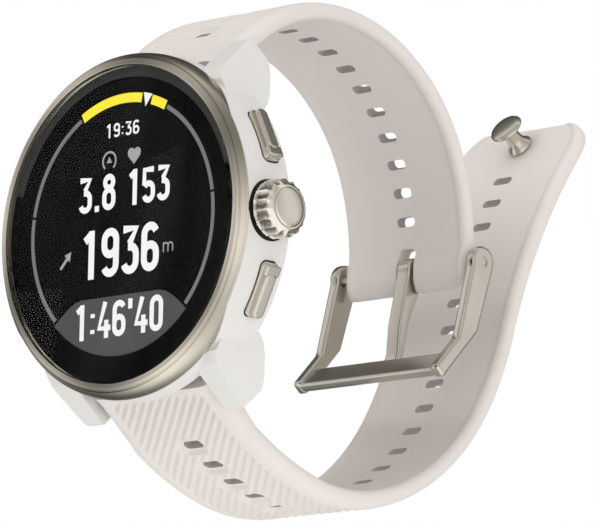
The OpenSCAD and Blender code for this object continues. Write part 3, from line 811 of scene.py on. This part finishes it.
class WATCH_OT_display(bpy.types.Operator):
    """Builds the display: dark field, scale ring, lit zone, pointer, figures and icons"""
    bl_idname = "watch.display"
    bl_label = "Display"

    def execute(self, context):
        screen = bmesh.new()
        turned(screen, [(0, 9.2), (18.6, 9.2), (18.6, 10.3), (0, 10.3)], steps=128)
        finish_piece(screen, "display_screen", "case", ["display_black"],
                     ["display_panel"])
        border = bmesh.new()
        turned(border, [(17.2, 10.39), (20.45, 10.39), (20.45, 10.4), (17.2, 10.4)],
               steps=128, closed=True)
        finish_piece(border, "display_border", "case", ["display_black"])
        field = bmesh.new()
        turned(field, [(0, 10.31), (17.25, 10.31), (17.25, 10.33), (0, 10.33)], steps=128)
        finish_piece(field, "display_field", "case", ["display_field"])
        level = 10.36
        ring = bmesh.new()
        for start, end in ((-134, -81.6), (-80.4, -28.4), (28.4, 80.4), (81.6, 134)):
            arc_band(ring, 16.1, 16.68, start, end, level)
        finish_piece(ring, "display_scale_ring", "case", ["lit_grey"])
        zone = bmesh.new()
        arc_band(zone, 15.85, 17.1, -27.2, 11.2, level)
        arc_band(zone, 15.85, 17.1, 17.6, 27.2, level)
        finish_piece(zone, "display_zone", "case", ["lit_zone"])
        panel = bmesh.new()
        rim = 16.95
        edge = [(-rim * math.cos(a), -rim * math.sin(a))
                for a in [math.radians(45.2 + 89.6 * k / 40) for k in range(41)]]
        shoulder = [(7.1, -9.15), (8.2, -9.4), (9.3, -9.95), (10.6, -10.9)]
        outline = edge + shoulder[::-1] + [(-x, z) for x, z in shoulder]
        prism(panel, outline, 10.34, 10.35, DIAL)
        finish_piece(panel, "display_panel_shade", "case", ["lit_panel"])
        figures = bmesh.new()
        prism(figures, [(3.45, 17.25), (5.35, 16.75), (3.85, 14.95)], level, level + 0.02, DIAL)
        write_figures(figures, "19:36", -3.3, 2.85, 11.55, 1.85, level)
        write_figures(figures, "3.8", -8.0, -1.25, 2.15, 4.75, level)
        write_figures(figures, "153", 0.95, 8.55, 2.3, 4.7, level)
        write_figures(figures, "1936", -7.2, 6.85, -6.6, 6.4, level)
        write_figures(figures, "1:46'40", -8.2, 7.85, -14.45, 4.7, level)
        finish_piece(figures, "display_figures", "case", ["lit_white"])
        icons = bmesh.new()
        write_figures(icons, "m", 7.55, 9.45, -4.4, 1.25, level, 0.2)
        ribbon(icons, bow(-2.52, 8.55, 1.18, -50, 230, 16), 0.28, level)
        prism(icons, [(-3.0, 8.3), (-2.04, 8.3), (-2.52, 9.1)], level, level + 0.02, DIAL)
        heart = ([(2.02, 7.65), (0.95, 8.75)] + bow(1.47, 9.2, 0.62, 200, 40, 6)
                 + bow(2.57, 9.2, 0.62, 140, -20, 6) + [(3.09, 8.75)])
        prism(icons, heart, level, level + 0.02, DIAL)
        ribbon(icons, [(-11.1, -4.7), (-9.65, -3.2)], 0.42, level)
        prism(icons, [(-9.15, -2.6), (-10.35, -2.95), (-9.4, -3.9)], level, level + 0.02, DIAL)
        finish_piece(icons, "display_icons", "case", ["lit_icon"])
        return {"FINISHED"}


# ---------------------------------------------------------------- crown and buttons
class WATCH_OT_crown(bpy.types.Operator):
    """Builds the fluted crown and its domed cap"""
    bl_idname = "watch.crown"
    bl_label = "Crown"

    def execute(self, context):
        flutes = case_settings().flutes
        bm = bmesh.new()
        outline = [(0, 22.7), (3.55, 22.7), (3.72, 22.78), (3.8, 22.95), (3.8, 23.15),
                   (3.8, 23.3), (3.8, 23.6), (3.8, 24.0), (3.8, 24.3), (3.8, 24.6),
                   (3.78, 24.8), (3.62, 25.02), (3.2, 25.35), (2.85, 25.58), (2.72, 25.62),
                   (2.62, 25.6), (2.6, 25.5), (2.6, 25.3), (0, 25.3)]
        made = turned(bm, outline, CROWN, steps=flutes * 12)
        for v in made:
            y, z = v.co.y + CROWN_HEIGHT, v.co.z
            radius = math.hypot(y, z)
            if radius < 3.3:
                continue
            wave = abs(math.cos(flutes / 2 * math.atan2(z, y)))
            band = smooth(v.co.x, 22.9, 23.15) * (1 - smooth(v.co.x, 24.75, 25.35))
            shrink = 1 - 0.5 * wave * band / radius
            v.co.y, v.co.z = y * shrink - CROWN_HEIGHT, z * shrink
        finish_piece(bm, "crown_knob", "crown", ["fluted_steel"], ["crown_head"],
                     sharp=40)
        cap = bmesh.new()
        dome = [(2.56 * math.sin(a), 25.62 + 0.26 * math.cos(a))
                for a in [math.pi / 2 * k / 10 for k in range(10, -1, -1)]]
        turned(cap, [(0, 25.32), (2.56, 25.32)] + dome, CROWN, 64)
        finish_piece(cap, "crown_dome", "crown", ["domed_steel"], ["crown_cap"])
        return {"FINISHED"}


class WATCH_OT_buttons(bpy.types.Operator):
    """Builds the two side buttons: a low base with a ridge along it"""
    bl_idname = "watch.buttons"
    bl_label = "Buttons"

    def execute(self, context):
        for side, name in ((1, "upper"), (-1, "lower")):
            place = button_place(side)
            bm = bmesh.new()
            rounded_box(bm, (7.4, 2.8, 1.35), (0, 0, 22.17), place, 0.85, 0.14)
            ridge = bmesh.new()
            rounded_box(ridge, (6.1, 1.8, 1.0), (-side * 0.55, 0, 23.1), place, 0.8, 0.3)
            block = bmesh.new()
            rounded_box(block, (1.5, 2.45, 0.9), (side * 2.75, 0, 23.03), place, 0.3, 0.22, 4)
            stem = bmesh.new()
            turned(stem, [(0, 15.7), (0.6, 15.7), (0.6, 21.55), (0, 21.55)], place, 24)
            bm = combine(bm, ridge, "UNION")
            bm = combine(bm, block, "UNION")
            bm = combine(bm, stem, "UNION")
            finish_piece(bm, name + "_button_cap", name + "_button",
                         ["satin_steel"], [name + "_button"], sharp=35, flats=True)
        return {"FINISHED"}


# ---------------------------------------------------------------- straps
def pose_along(start, path, s):
    """(y, z, heading) at a distance along a strap; before the start it runs on straight."""
    y, z, heading = start
    if s < 0:
        a = math.radians(heading)
        return y + s * math.cos(a), z + s * math.sin(a), heading
    for number, (length, bend) in enumerate(path):
        part = min(s, length) if number < len(path) - 1 else s
        turn = bend * part / length
        a, b = math.radians(heading), math.radians(heading - turn)
        if bend:
            r = length / math.radians(bend)
            y += r * (math.sin(a) - math.sin(b))
            z += r * (math.cos(b) - math.cos(a))
        else:
            y += part * math.cos(a)
            z += part * math.sin(a)
        heading -= turn
        s -= part
        if s <= 0:
            break
    return y, z, heading


def local_place(start, point):
    """(distance, height) of a point (y, z) in the straight run before a strap's start."""
    a = math.radians(start[2])
    dy, dz = point[0] - start[0], point[1] - start[1]
    return dy * math.cos(a) + dz * math.sin(a), dz * math.cos(a) - dy * math.sin(a)


def strap_section(settings):
    """Half sections of the strap as (x, height): outer face, edge and wrist face."""
    step = settings.sample
    count = int(8.6 / step)
    outer = [(8.6 * k / count, 2.4) for k in range(count + 1)]
    outer += [(9.1, 2.38), (9.6, 2.31), (10.1, 2.16), (10.5, 1.95), (10.8, 1.68), (10.96, 1.38)]
    inner = [(11.0, 1.0), (10.96, 0.72), (10.82, 0.42), (10.6, 0.18), (10.3, 0.04),
             (9.95, 0.0), (9.7, 0.04), (9.5, 0.13), (9.3, 0.22), (9.0, 0.27), (8.6, 0.28)]
    inner += [(8.6 * k / 8, 0.28) for k in range(7, -1, -1)]
    half = outer + inner
    return half + [(-x, h) for x, h in reversed(half[1:-1])]


def hollow_reach(x, s):
    """Distance out from a slot's middle, 1 at the edge of the six-sided hollow round it."""
    return max(abs(s) / 1.35, (abs(x) + 0.55 * abs(s)) / 2.55)


class StrapShape:
    """What one strap half needs: its path, ends, slots and rib direction."""

    def __init__(self, start, path, slots, rib_lean, thin_end):
        self.start, self.path, self.slots = start, path, slots
        self.length = sum(length for length, bend in path)
        self.rib_lean, self.thin_end = rib_lean, thin_end
        self.bar = local_place(start, LUG_BAR)
        self.nose = local_place(start, NOSE)
        self.first = self.bar[0] - BARREL_RADIUS + 0.04

    def faces(self, s):
        """Heights of the wrist face and the outer face at s."""
        low, high = 0.0, 2.4
        if s < 0:
            high = 2.4 + (self.nose[1] - 2.4) * s / self.nose[0]
            low = (self.bar[1] - BARREL_RADIUS) * min(1, s / self.bar[0])
            back = self.bar[0] - s
            if back > 0:
                low = self.bar[1] - math.sqrt(max(0.01, BARREL_RADIUS ** 2 - back ** 2))
        return low, high


def strap_mesh(shape):
    settings = strap_settings()
    bm = bmesh.new()
    section = strap_section(settings)
    verts = [bm.verts.new((x, shape.first, h)) for x, h in section]
    edges = [bm.edges.new((a, b)) for a, b in zip(verts, verts[1:] + verts[:1])]
    run = shape.length - shape.first
    steps = int(run / settings.sample)
    bmesh.ops.spin(bm, geom=verts + edges, cent=(0, 0, 0), axis=(0, 1, 0),
                   dvec=(0, run / steps, 0), angle=0, steps=steps, use_merge=False,
                   use_duplicate=False)
    rims = [e for e in bm.edges if e.is_boundary]
    bmesh.ops.holes_fill(bm, edges=rims, sides=0)
    for v in bm.verts:
        dress_strap(v, shape, settings)
    bmesh.ops.recalc_face_normals(bm, faces=bm.faces)
    return bm


def dress_strap(v, shape, settings):
    """Moves one vertex of the flat strap: ribs, hollows, thick root, rounded end."""
    x, s, h = v.co
    if h > 2.3 and abs(x) < 8.9:
        reach = min([hollow_reach(x, s - place) for place in shape.slots])
        edge = 1 - smooth(abs(x), 8.0, 8.55)
        ends = smooth(s, shape.first + 0.5, shape.first + 2) * (
            1 - smooth(s, shape.length - shape.thin_end - 3, shape.length - shape.thin_end))
        phase = (0.67 * x + shape.rib_lean * 0.743 * s) / settings.rib_pitch
        rib = (0.5 - 0.5 * math.cos(math.tau * phase)) ** 2.5
        h -= settings.rib_depth * rib * edge * ends * smooth(reach, 0.95, 1.25)
        h -= settings.hollow_depth * (1 - smooth(reach, 0.7, 1.1))
    low, high = shape.faces(s)
    v.co.z = low + (high - low) * h / 2.4
    if s < 1:
        v.co.x = x * (1 - (1 - settings.root_width / settings.width) * (1 - smooth(s, -2, 1)))


def slot_cutters(shape):
    settings = strap_settings()
    bm = bmesh.new()
    for place in shape.slots:
        rounded_box(bm, (settings.slot_length, settings.slot_width, 9), (0, place, 1.2),
                    Matrix(), 0.62)
    return bm


def bent(bm, shape, side):
    """Bends the flat strap along its path; side -1 puts it below the case."""
    half = strap_settings().slot_length / 2 + 0.05
    bm.normal_update()
    for face in bm.faces:
        x, s, h = face.calc_center_median()
        # the walls of the slots take the second material, a darker silicone that is painted
        # shade
        if abs(face.normal.z) < 0.5 and abs(x) < half and any(
                abs(s - place) < 0.7 for place in shape.slots):
            face.material_index = 1
    for v in bm.verts:
        x, s, h = v.co
        y, z, heading = pose_along(shape.start, shape.path, s)
        a = math.radians(heading)
        v.co = (x, y - h * math.sin(a), side * (z + h * math.cos(a)))
    return bm


def bar_bore(shape):
    """Cutter for the spring bar's bore, in the flat strap."""
    bm = bmesh.new()
    place = Matrix.Translation((0, *shape.bar)) @ Matrix.Rotation(math.radians(90), 4, "Y")
    turned(bm, [(0, -20), (0.8, -20), (0.8, 20), (0, 20)], place, 24)
    rounded_box(bm, (2.9, 1.2, 4), (7.45, shape.bar[0], shape.bar[1] - 2), Matrix(), 0.5)
    return bm


def upper_shape():
    slots = [2.2 + 3.87 * k for k in range(14)]
    return StrapShape(UPPER_START, UPPER_PATH, slots, -1, 5)


def lower_shape():
    slots = [0.1 + 4.08 * k for k in range(22)]
    return StrapShape(LOWER_START, LOWER_PATH, slots, 1, 4)


class WATCH_OT_straps(bpy.types.Operator):
    """Builds both halves of the ribbed strap with their slots"""
    bl_idname = "watch.straps"
    bl_label = "Straps"

    def execute(self, context):
        upper = upper_shape()
        bm = strap_mesh(upper)
        end = upper.length
        for v in bm.verts:
            # swell round the buckle bar, then a rounded end
            swell = 0.35 * math.sqrt(max(0, 1 - ((v.co.y - (end - 2.9)) / 2) ** 2))
            v.co.z += swell if v.co.z > 1.2 else -swell
            t = max(0, (v.co.y - (end - 1.1)) / 1.1)
            v.co.z = 1.2 + (v.co.z - 1.2) * math.sqrt(1 - 0.8 * t * t)
        bm = combine(bm, slot_cutters(upper), "DIFFERENCE")
        cutters = bar_bore(upper)
        rounded_box(cutters, (3.1, 10, 9), (0, end - 6.0 + 5, 1.2), Matrix(), 0.9)
        bmesh.ops.recalc_face_normals(cutters, faces=cutters.faces)
        bm = combine(bm, cutters, "DIFFERENCE")
        cutters = bmesh.new()
        place = Matrix.Translation((0, end - 2.9, 1.2)) @ Matrix.Rotation(math.pi / 2, 4, "Y")
        turned(cutters, [(0, -20), (0.75, -20), (0.75, 20), (0, 20)], place, 24)
        bmesh.ops.recalc_face_normals(cutters, faces=cutters.faces)
        bm = combine(bm, cutters, "DIFFERENCE")
        finish_piece(bent(bm, upper, 1), "strap_buckle_half", "upper_strap",
                     ["soft_silicone", "silicone_shade"], ["upper_strap"], sharp=38)
        lower = lower_shape()
        bm = strap_mesh(lower)
        corner = 5.0
        for v in bm.verts:
            past = v.co.y - (lower.length - corner)
            if past > 0:
                half = 11 - corner + math.sqrt(max(0, corner ** 2 - past ** 2))
                v.co.x *= half / 11
            t = max(0, (v.co.y - (lower.length - 0.9)) / 0.9)
            v.co.z = 1.2 + (v.co.z - 1.2) * math.sqrt(1 - 0.85 * t * t)
        bm = combine(bm, slot_cutters(lower), "DIFFERENCE")
        cutters = bar_bore(lower)
        place = Matrix.Translation((0, STUD_PLACE, 0))
        turned(cutters, [(0, -3), (1.11, -3), (1.11, 6), (0, 6)], place, 24)
        bmesh.ops.recalc_face_normals(cutters, faces=cutters.faces)
        bm = combine(bm, cutters, "DIFFERENCE")
        finish_piece(bent(bm, lower, -1), "strap_tail_half", "lower_strap",
                     ["soft_silicone", "silicone_shade"], ["lower_strap"], sharp=38)
        return {"FINISHED"}


class WATCH_OT_stud(bpy.types.Operator):
    """Builds the stud that closes the strap's tail"""
    bl_idname = "watch.stud"
    bl_label = "Stud"

    def execute(self, context):
        y, z, heading = pose_along(LOWER_START, LOWER_PATH, STUD_PLACE)
        a = math.radians(heading)
        out = Vector((0, -math.sin(a), -math.cos(a)))
        place = (Matrix.Translation((0, y, -z))
                 @ (-out).to_track_quat("Z", "Y").to_matrix().to_4x4())
        bm = bmesh.new()
        outline = [(0, -2.95), (2.0, -2.95), (2.2, -2.8), (2.2, -2.45), (1.1, -2.43),
                   (1.1, -0.02), (1.85, 0.02), (1.8, 0.2), (1.5, 0.5), (1.22, 0.9), (1.1, 1.5),
                   (1.08, 2.3), (1.12, 2.8), (1.4, 3.05), (1.9, 3.12), (2.25, 3.2),
                   (2.4, 3.36), (2.4, 3.52), (2.25, 3.7), (1.7, 3.88), (0.9, 3.97), (0, 4.0)]
        turned(bm, outline, place, 64)
        finish_piece(bm, "tail_stud_turned", "lower_strap", ["satin_steel"],
                     ["tail_stud"], sharp=40)
        return {"FINISHED"}


# ---------------------------------------------------------------- buckle
SIDE = Matrix(((0, 0, 1, 0), (1, 0, 0, 0), (0, 1, 0, 0), (0, 0, 0, 1)))  # (y, z) outlines


def eye_outline(radius, lower):
    """An outline in (y, z): an eye round the buckle bar, then the points of lower."""
    by, bz = BUCKLE_BAR
    eye = [(by + radius * math.cos(math.radians(a)), bz + radius * math.sin(math.radians(a)))
           for a in range(-15, 196, 15)]
    return eye + lower


class WATCH_OT_buckle(bpy.types.Operator):
    """Builds the buckle's frame and its tongue"""
    bl_idname = "watch.buckle"
    bl_label = "Buckle"

    def execute(self, context):
        arm = eye_outline(2.1, [(39.3, -9.45), (35.4, -13.4), (35.1, -14.0), (36.5, -15.2),
                                (37.5, -14.1), (43.0, -8.4)])
        bm = bmesh.new()
        for start, end in ((11.7, 13.2), (-13.2, -11.7)):
            prism(bm, arm, start, end, SIDE, bevel=0.42, segments=4)
        bar = bmesh.new()
        prism(bar, [(36.4, -15.0), (35.2, -14.1), (38.1, -11.4), (39.3, -12.4)], -12.9, 12.9,
              SIDE, bevel=0.45, segments=4)
        bm = combine(bm, bar, "UNION")
        bores = bmesh.new()
        place = (Matrix.Translation((0, *BUCKLE_BAR)) @ Matrix.Rotation(math.pi / 2, 4, "Y"))
        turned(bores, [(0, -20), (0.7, -20), (0.7, 20), (0, 20)], place, 32)
        bmesh.ops.recalc_face_normals(bores, faces=bores.faces)
        bm = combine(bm, bores, "DIFFERENCE")
        finish_piece(bm, "buckle_loop", "buckle", ["satin_steel"],
                     ["buckle_frame"], sharp=35, flats=True)
        tongue = bmesh.new()
        outline = eye_outline(1.75, [(40.7, -6.4), (40.4, -10.2), (39.9, -11.6), (40.6, -12.1),
                                     (41.6, -10.6), (42.6, -5.8)])
        prism(tongue, outline, -1.15, 1.15, SIDE, bevel=0.3)
        bores = bmesh.new()
        turned(bores, [(0, -20), (0.75, -20), (0.75, 20), (0, 20)], place, 32)
        bmesh.ops.recalc_face_normals(bores, faces=bores.faces)
        tongue = combine(tongue, bores, "DIFFERENCE")
        finish_piece(tongue, "buckle_pin", "tongue", ["satin_steel"],
                     ["buckle_tongue"], sharp=35, flats=True)
        return {"FINISHED"}


class WATCH_OT_back(bpy.types.Operator):
    """Builds the back cover and the sensor window"""
    bl_idname = "watch.back"
    bl_label = "Back"

    def execute(self, context):
        bm = bmesh.new()
        turned(bm, [(9, 1.5), (10.1, 1.5), (10.1, 0.45), (10.25, 0.36), (17.0, 0.36),
                    (17.6, 0.5), (20.9, 1.6), (21.35, 1.85), (21.5, 2.15), (21.5, 2.57),
                    (17.5, 2.57), (17.5, 3.15), (9, 3.15)], steps=192, closed=True)
        bmesh.ops.recalc_face_normals(bm, faces=bm.faces)
        cutters = bmesh.new()
        for side in (1, -1):
            rounded_box(cutters, (22.1, 30, 30), (0, 0, 18.3 + 15), Matrix.Diagonal(
                (1, 1, side, 1)), 0.01, corner_segments=1)
        for angle in (40, 140, 220, 320):
            a = math.radians(angle)
            hole = DIAL @ Matrix.Translation((19.9 * math.cos(a), 19.9 * math.sin(a), 0))
            turned(cutters, [(0, -2), (0.95, -2), (0.95, 1.4), (0, 1.4)], hole, 24)
        for x in (-3.3, -1.1, 1.1, 3.3):
            hole = DIAL @ Matrix.Translation((x, -14.2, 0))
            turned(cutters, [(0, -1), (0.62, -1), (0.62, 5), (0, 5)], hole, 24)
        bmesh.ops.recalc_face_normals(cutters, faces=cutters.faces)
        bm = combine(bm, cutters, "DIFFERENCE")
        finish_piece(bm, "back_shell", "case", ["black_polymer"],
                     ["back_cover"], sharp=28)
        window = bmesh.new()
        turned(window, [(0, 0), (9.2, 0), (9.5, 0.04), (9.8, 0.2), (9.98, 0.5), (10.03, 0.8),
                        (10.03, 1.47), (0, 1.47)], steps=96)
        finish_piece(window, "sensor_glass", "case", ["dark_window"],
                     ["sensor_window"], sharp=45)
        return {"FINISHED"}


# ---------------------------------------------------------------- stage
def area_light(name, size, power, place, target=(0, 0.02, 0), colour=(1, 1, 1), size_y=None):
    light = bpy.data.lights.new(name, "AREA")
    light.shape = "RECTANGLE"
    light.size = size
    light.size_y = size_y or size
    light.energy = power
    light.color = colour
    obj = bpy.data.objects.new(name, light)
    obj.location = place
    obj.visible_glossy = False
    aim = Vector(target) - Vector(place)
    obj.rotation_euler = aim.to_track_quat("-Z", "Y").to_euler()
    bpy.context.scene.collection.objects.link(obj)


def sky_level(tree, direction, stops):
    """How bright the sky is, as a ramp over the angle from a direction."""
    place = tree.nodes.new("ShaderNodeTexCoord")
    dot = tree.nodes.new("ShaderNodeVectorMath")
    dot.operation = "DOT_PRODUCT"
    dot.inputs[1].default_value = Vector(direction).normalized()
    tree.links.new(place.outputs["Object"], dot.inputs[0])
    share = tree.nodes.new("ShaderNodeMath")
    share.operation = "MULTIPLY_ADD"
    share.inputs[1].default_value = 0.5
    share.inputs[2].default_value = 0.5
    tree.links.new(dot.outputs["Value"], share.inputs[0])
    shade = tree.nodes.new("ShaderNodeValToRGB")
    shade.color_ramp.interpolation = "EASE"
    elements = shade.color_ramp.elements
    for number, (spot, level) in enumerate(stops):
        element = elements[number] if number < 2 else elements.new(spot)
        element.position = spot
        element.color = (level, level * 0.985, level * 0.965, 1)
    tree.links.new(share.outputs[0], shade.inputs["Fac"])
    sky = tree.nodes.new("ShaderNodeBackground")
    tree.links.new(shade.outputs["Color"], sky.inputs["Color"])
    return sky


def studio_world():
    """White to the camera, a soft dome for matt surfaces, a contrasty one for shiny ones."""
    world = bpy.data.worlds.new("studio")
    world.use_nodes = True
    bpy.context.scene.world = world
    tree = world.node_tree
    tree.nodes.clear()
    out = tree.nodes.new("ShaderNodeOutputWorld")
    path = tree.nodes.new("ShaderNodeLightPath")
    seen = tree.nodes.new("ShaderNodeBackground")
    soft = sky_level(tree, (0.15, -0.2, 1), ((0.0, 0.55), (1.0, 0.95), (0.5, 0.6)))
    mirrored_sky = sky_level(tree, (-0.6, 0.75, 0.3), (
        (0.0, 0.9), (1.0, 0.05), (0.35, 0.6), (0.46, 0.45), (0.53, 0.7), (0.58, 1.1),
        (0.63, 0.85), (0.74, 0.18)))
    shiny = tree.nodes.new("ShaderNodeMixShader")
    tree.links.new(path.outputs["Is Glossy Ray"], shiny.inputs["Fac"])
    tree.links.new(soft.outputs[0], shiny.inputs[1])
    tree.links.new(mirrored_sky.outputs[0], shiny.inputs[2])
    mix = tree.nodes.new("ShaderNodeMixShader")
    tree.links.new(path.outputs["Is Camera Ray"], mix.inputs["Fac"])
    tree.links.new(shiny.outputs[0], mix.inputs[1])
    tree.links.new(seen.outputs[0], mix.inputs[2])
    tree.links.new(mix.outputs[0], out.inputs["Surface"])
    seen.inputs["Color"].default_value = (1, 1, 1, 1)


def floor_material():
    """Pale paper, white to the camera, whose reflection darkens behind the watch on its left."""
    material = moulded("floor_paint", (0.8, 0.8, 0.79), 0.8, grain=300, mottle=2,
                       spread=0.01, strength=0.05)
    tree = material.node_tree
    shader, out = tree.nodes["Principled BSDF"], tree.nodes["Material Output"]
    path = tree.nodes.new("ShaderNodeLightPath")
    place = tree.nodes.new("ShaderNodeTexCoord")
    dot = tree.nodes.new("ShaderNodeVectorMath")
    dot.operation = "DOT_PRODUCT"
    dot.inputs[1].default_value = (-0.6, 0.75, 0)
    level = tree.nodes.new("ShaderNodeMapRange")
    level.inputs["From Min"].default_value = 0.0
    level.inputs["From Max"].default_value = 0.13
    level.inputs["To Min"].default_value = 1.15
    level.inputs["To Max"].default_value = 0.16
    tree.links.new(place.outputs["Object"], dot.inputs[0])
    tree.links.new(dot.outputs["Value"], level.inputs["Value"])
    mirrored_glow = tree.nodes.new("ShaderNodeEmission")
    tree.links.new(level.outputs["Result"], mirrored_glow.inputs["Strength"])
    glow = tree.nodes.new("ShaderNodeEmission")
    shiny = tree.nodes.new("ShaderNodeMixShader")
    tree.links.new(path.outputs["Is Glossy Ray"], shiny.inputs["Fac"])
    tree.links.new(shader.outputs[0], shiny.inputs[1])
    tree.links.new(mirrored_glow.outputs[0], shiny.inputs[2])
    mix = tree.nodes.new("ShaderNodeMixShader")
    tree.links.new(path.outputs["Is Camera Ray"], mix.inputs["Fac"])
    tree.links.new(shiny.outputs[0], mix.inputs[1])
    tree.links.new(glow.outputs[0], mix.inputs[2])
    tree.links.new(mix.outputs[0], out.inputs["Surface"])
    return material


class WATCH_OT_stage(bpy.types.Operator):
    """Builds the camera, the pale floor and the studio light"""
    bl_idname = "watch.stage"
    bl_label = "Stage"

    def execute(self, context):
        scene = context.scene
        camera = bpy.data.cameras.new("camera")
        camera.sensor_width = 36
        camera.lens = 364.25
        camera.clip_start = 0.05
        camera.clip_end = 50
        obj = bpy.data.objects.new("camera", camera)
        right = (0.7215, 0.6921, 0.0184)
        up = (0.105, -0.1357, 0.9852)
        back = (0.6844, -0.7089, -0.1705)
        turn = Matrix((right, up, back)).transposed().to_4x4()
        obj.matrix_world = Matrix.Translation((0.541, -0.5386, -0.1351)) @ turn
        scene.collection.objects.link(obj)
        scene.camera = obj
        bm = bmesh.new()
        bmesh.ops.create_grid(bm, x_segments=8, y_segments=8, size=3)
        bmesh.ops.translate(bm, vec=(0, 0, FLOOR_HEIGHT), verts=bm.verts)
        mesh = bpy.data.meshes.new("floor")
        bm.to_mesh(mesh)
        bm.free()
        mesh.materials.append(floor_material())
        floor = bpy.data.objects.new("floor", mesh)
        scene.collection.objects.link(floor)
        studio_world()
        area_light("key", 0.4, 1.3, (-0.1, -0.65, 0.5))
        area_light("fill", 0.5, 0.1, (0.2, -0.75, 0.0), size_y=0.2)
        area_light("side", 0.3, 1.0, (0.6, -0.1, -0.05), size_y=0.5)
        area_light("back", 0.4, 0.35, (0.1, 0.7, 0.2))
        area_light("under", 0.5, 0.28, (0, 0.02, -0.16))
        scene.view_settings.view_transform = "Standard"
        return {"FINISHED"}


class WATCH_PT_panel(bpy.types.Panel):
    """Lists the steps that build the watch"""
    bl_idname = "WATCH_PT_panel"
    bl_label = "Running watch"
    bl_space_type = "VIEW_3D"
    bl_region_type = "UI"
    bl_category = "Watch"

    def draw(self, context):
        for group in ("watch_case", "watch_strap", "watch_looks"):
            settings = getattr(context.scene, group)
            box = self.layout.box()
            for name in settings.bl_rna.properties.keys():
                if name not in ("rna_type", "name"):
                    box.prop(settings, name)
        for operator in OPERATORS:
            self.layout.operator(operator.bl_idname)


OPERATORS = (WATCH_OT_stage, WATCH_OT_materials, WATCH_OT_case, WATCH_OT_bezel,
             WATCH_OT_glass, WATCH_OT_display, WATCH_OT_crown, WATCH_OT_buttons,
             WATCH_OT_straps, WATCH_OT_stud, WATCH_OT_buckle, WATCH_OT_back)
SETTINGS = (("watch_case", WatchCaseSettings), ("watch_strap", WatchStrapSettings),
            ("watch_looks", WatchLookSettings))


def register():
    for name, settings in SETTINGS:
        bpy.utils.register_class(settings)
        setattr(bpy.types.Scene, name, bpy.props.PointerProperty(type=settings))
    for operator in OPERATORS:
        bpy.utils.register_class(operator)
    bpy.utils.register_class(WATCH_PT_panel)


def unregister():
    bpy.utils.unregister_class(WATCH_PT_panel)
    for operator in reversed(OPERATORS):
        bpy.utils.unregister_class(operator)
    for name, settings in reversed(SETTINGS):
        delattr(bpy.types.Scene, name)
        bpy.utils.unregister_class(settings)


def main():
    register()
    for operator in OPERATORS:
        group, name = operator.bl_idname.split(".")
        getattr(getattr(bpy.ops, group), name)()


if __name__ == "__main__":
    main()
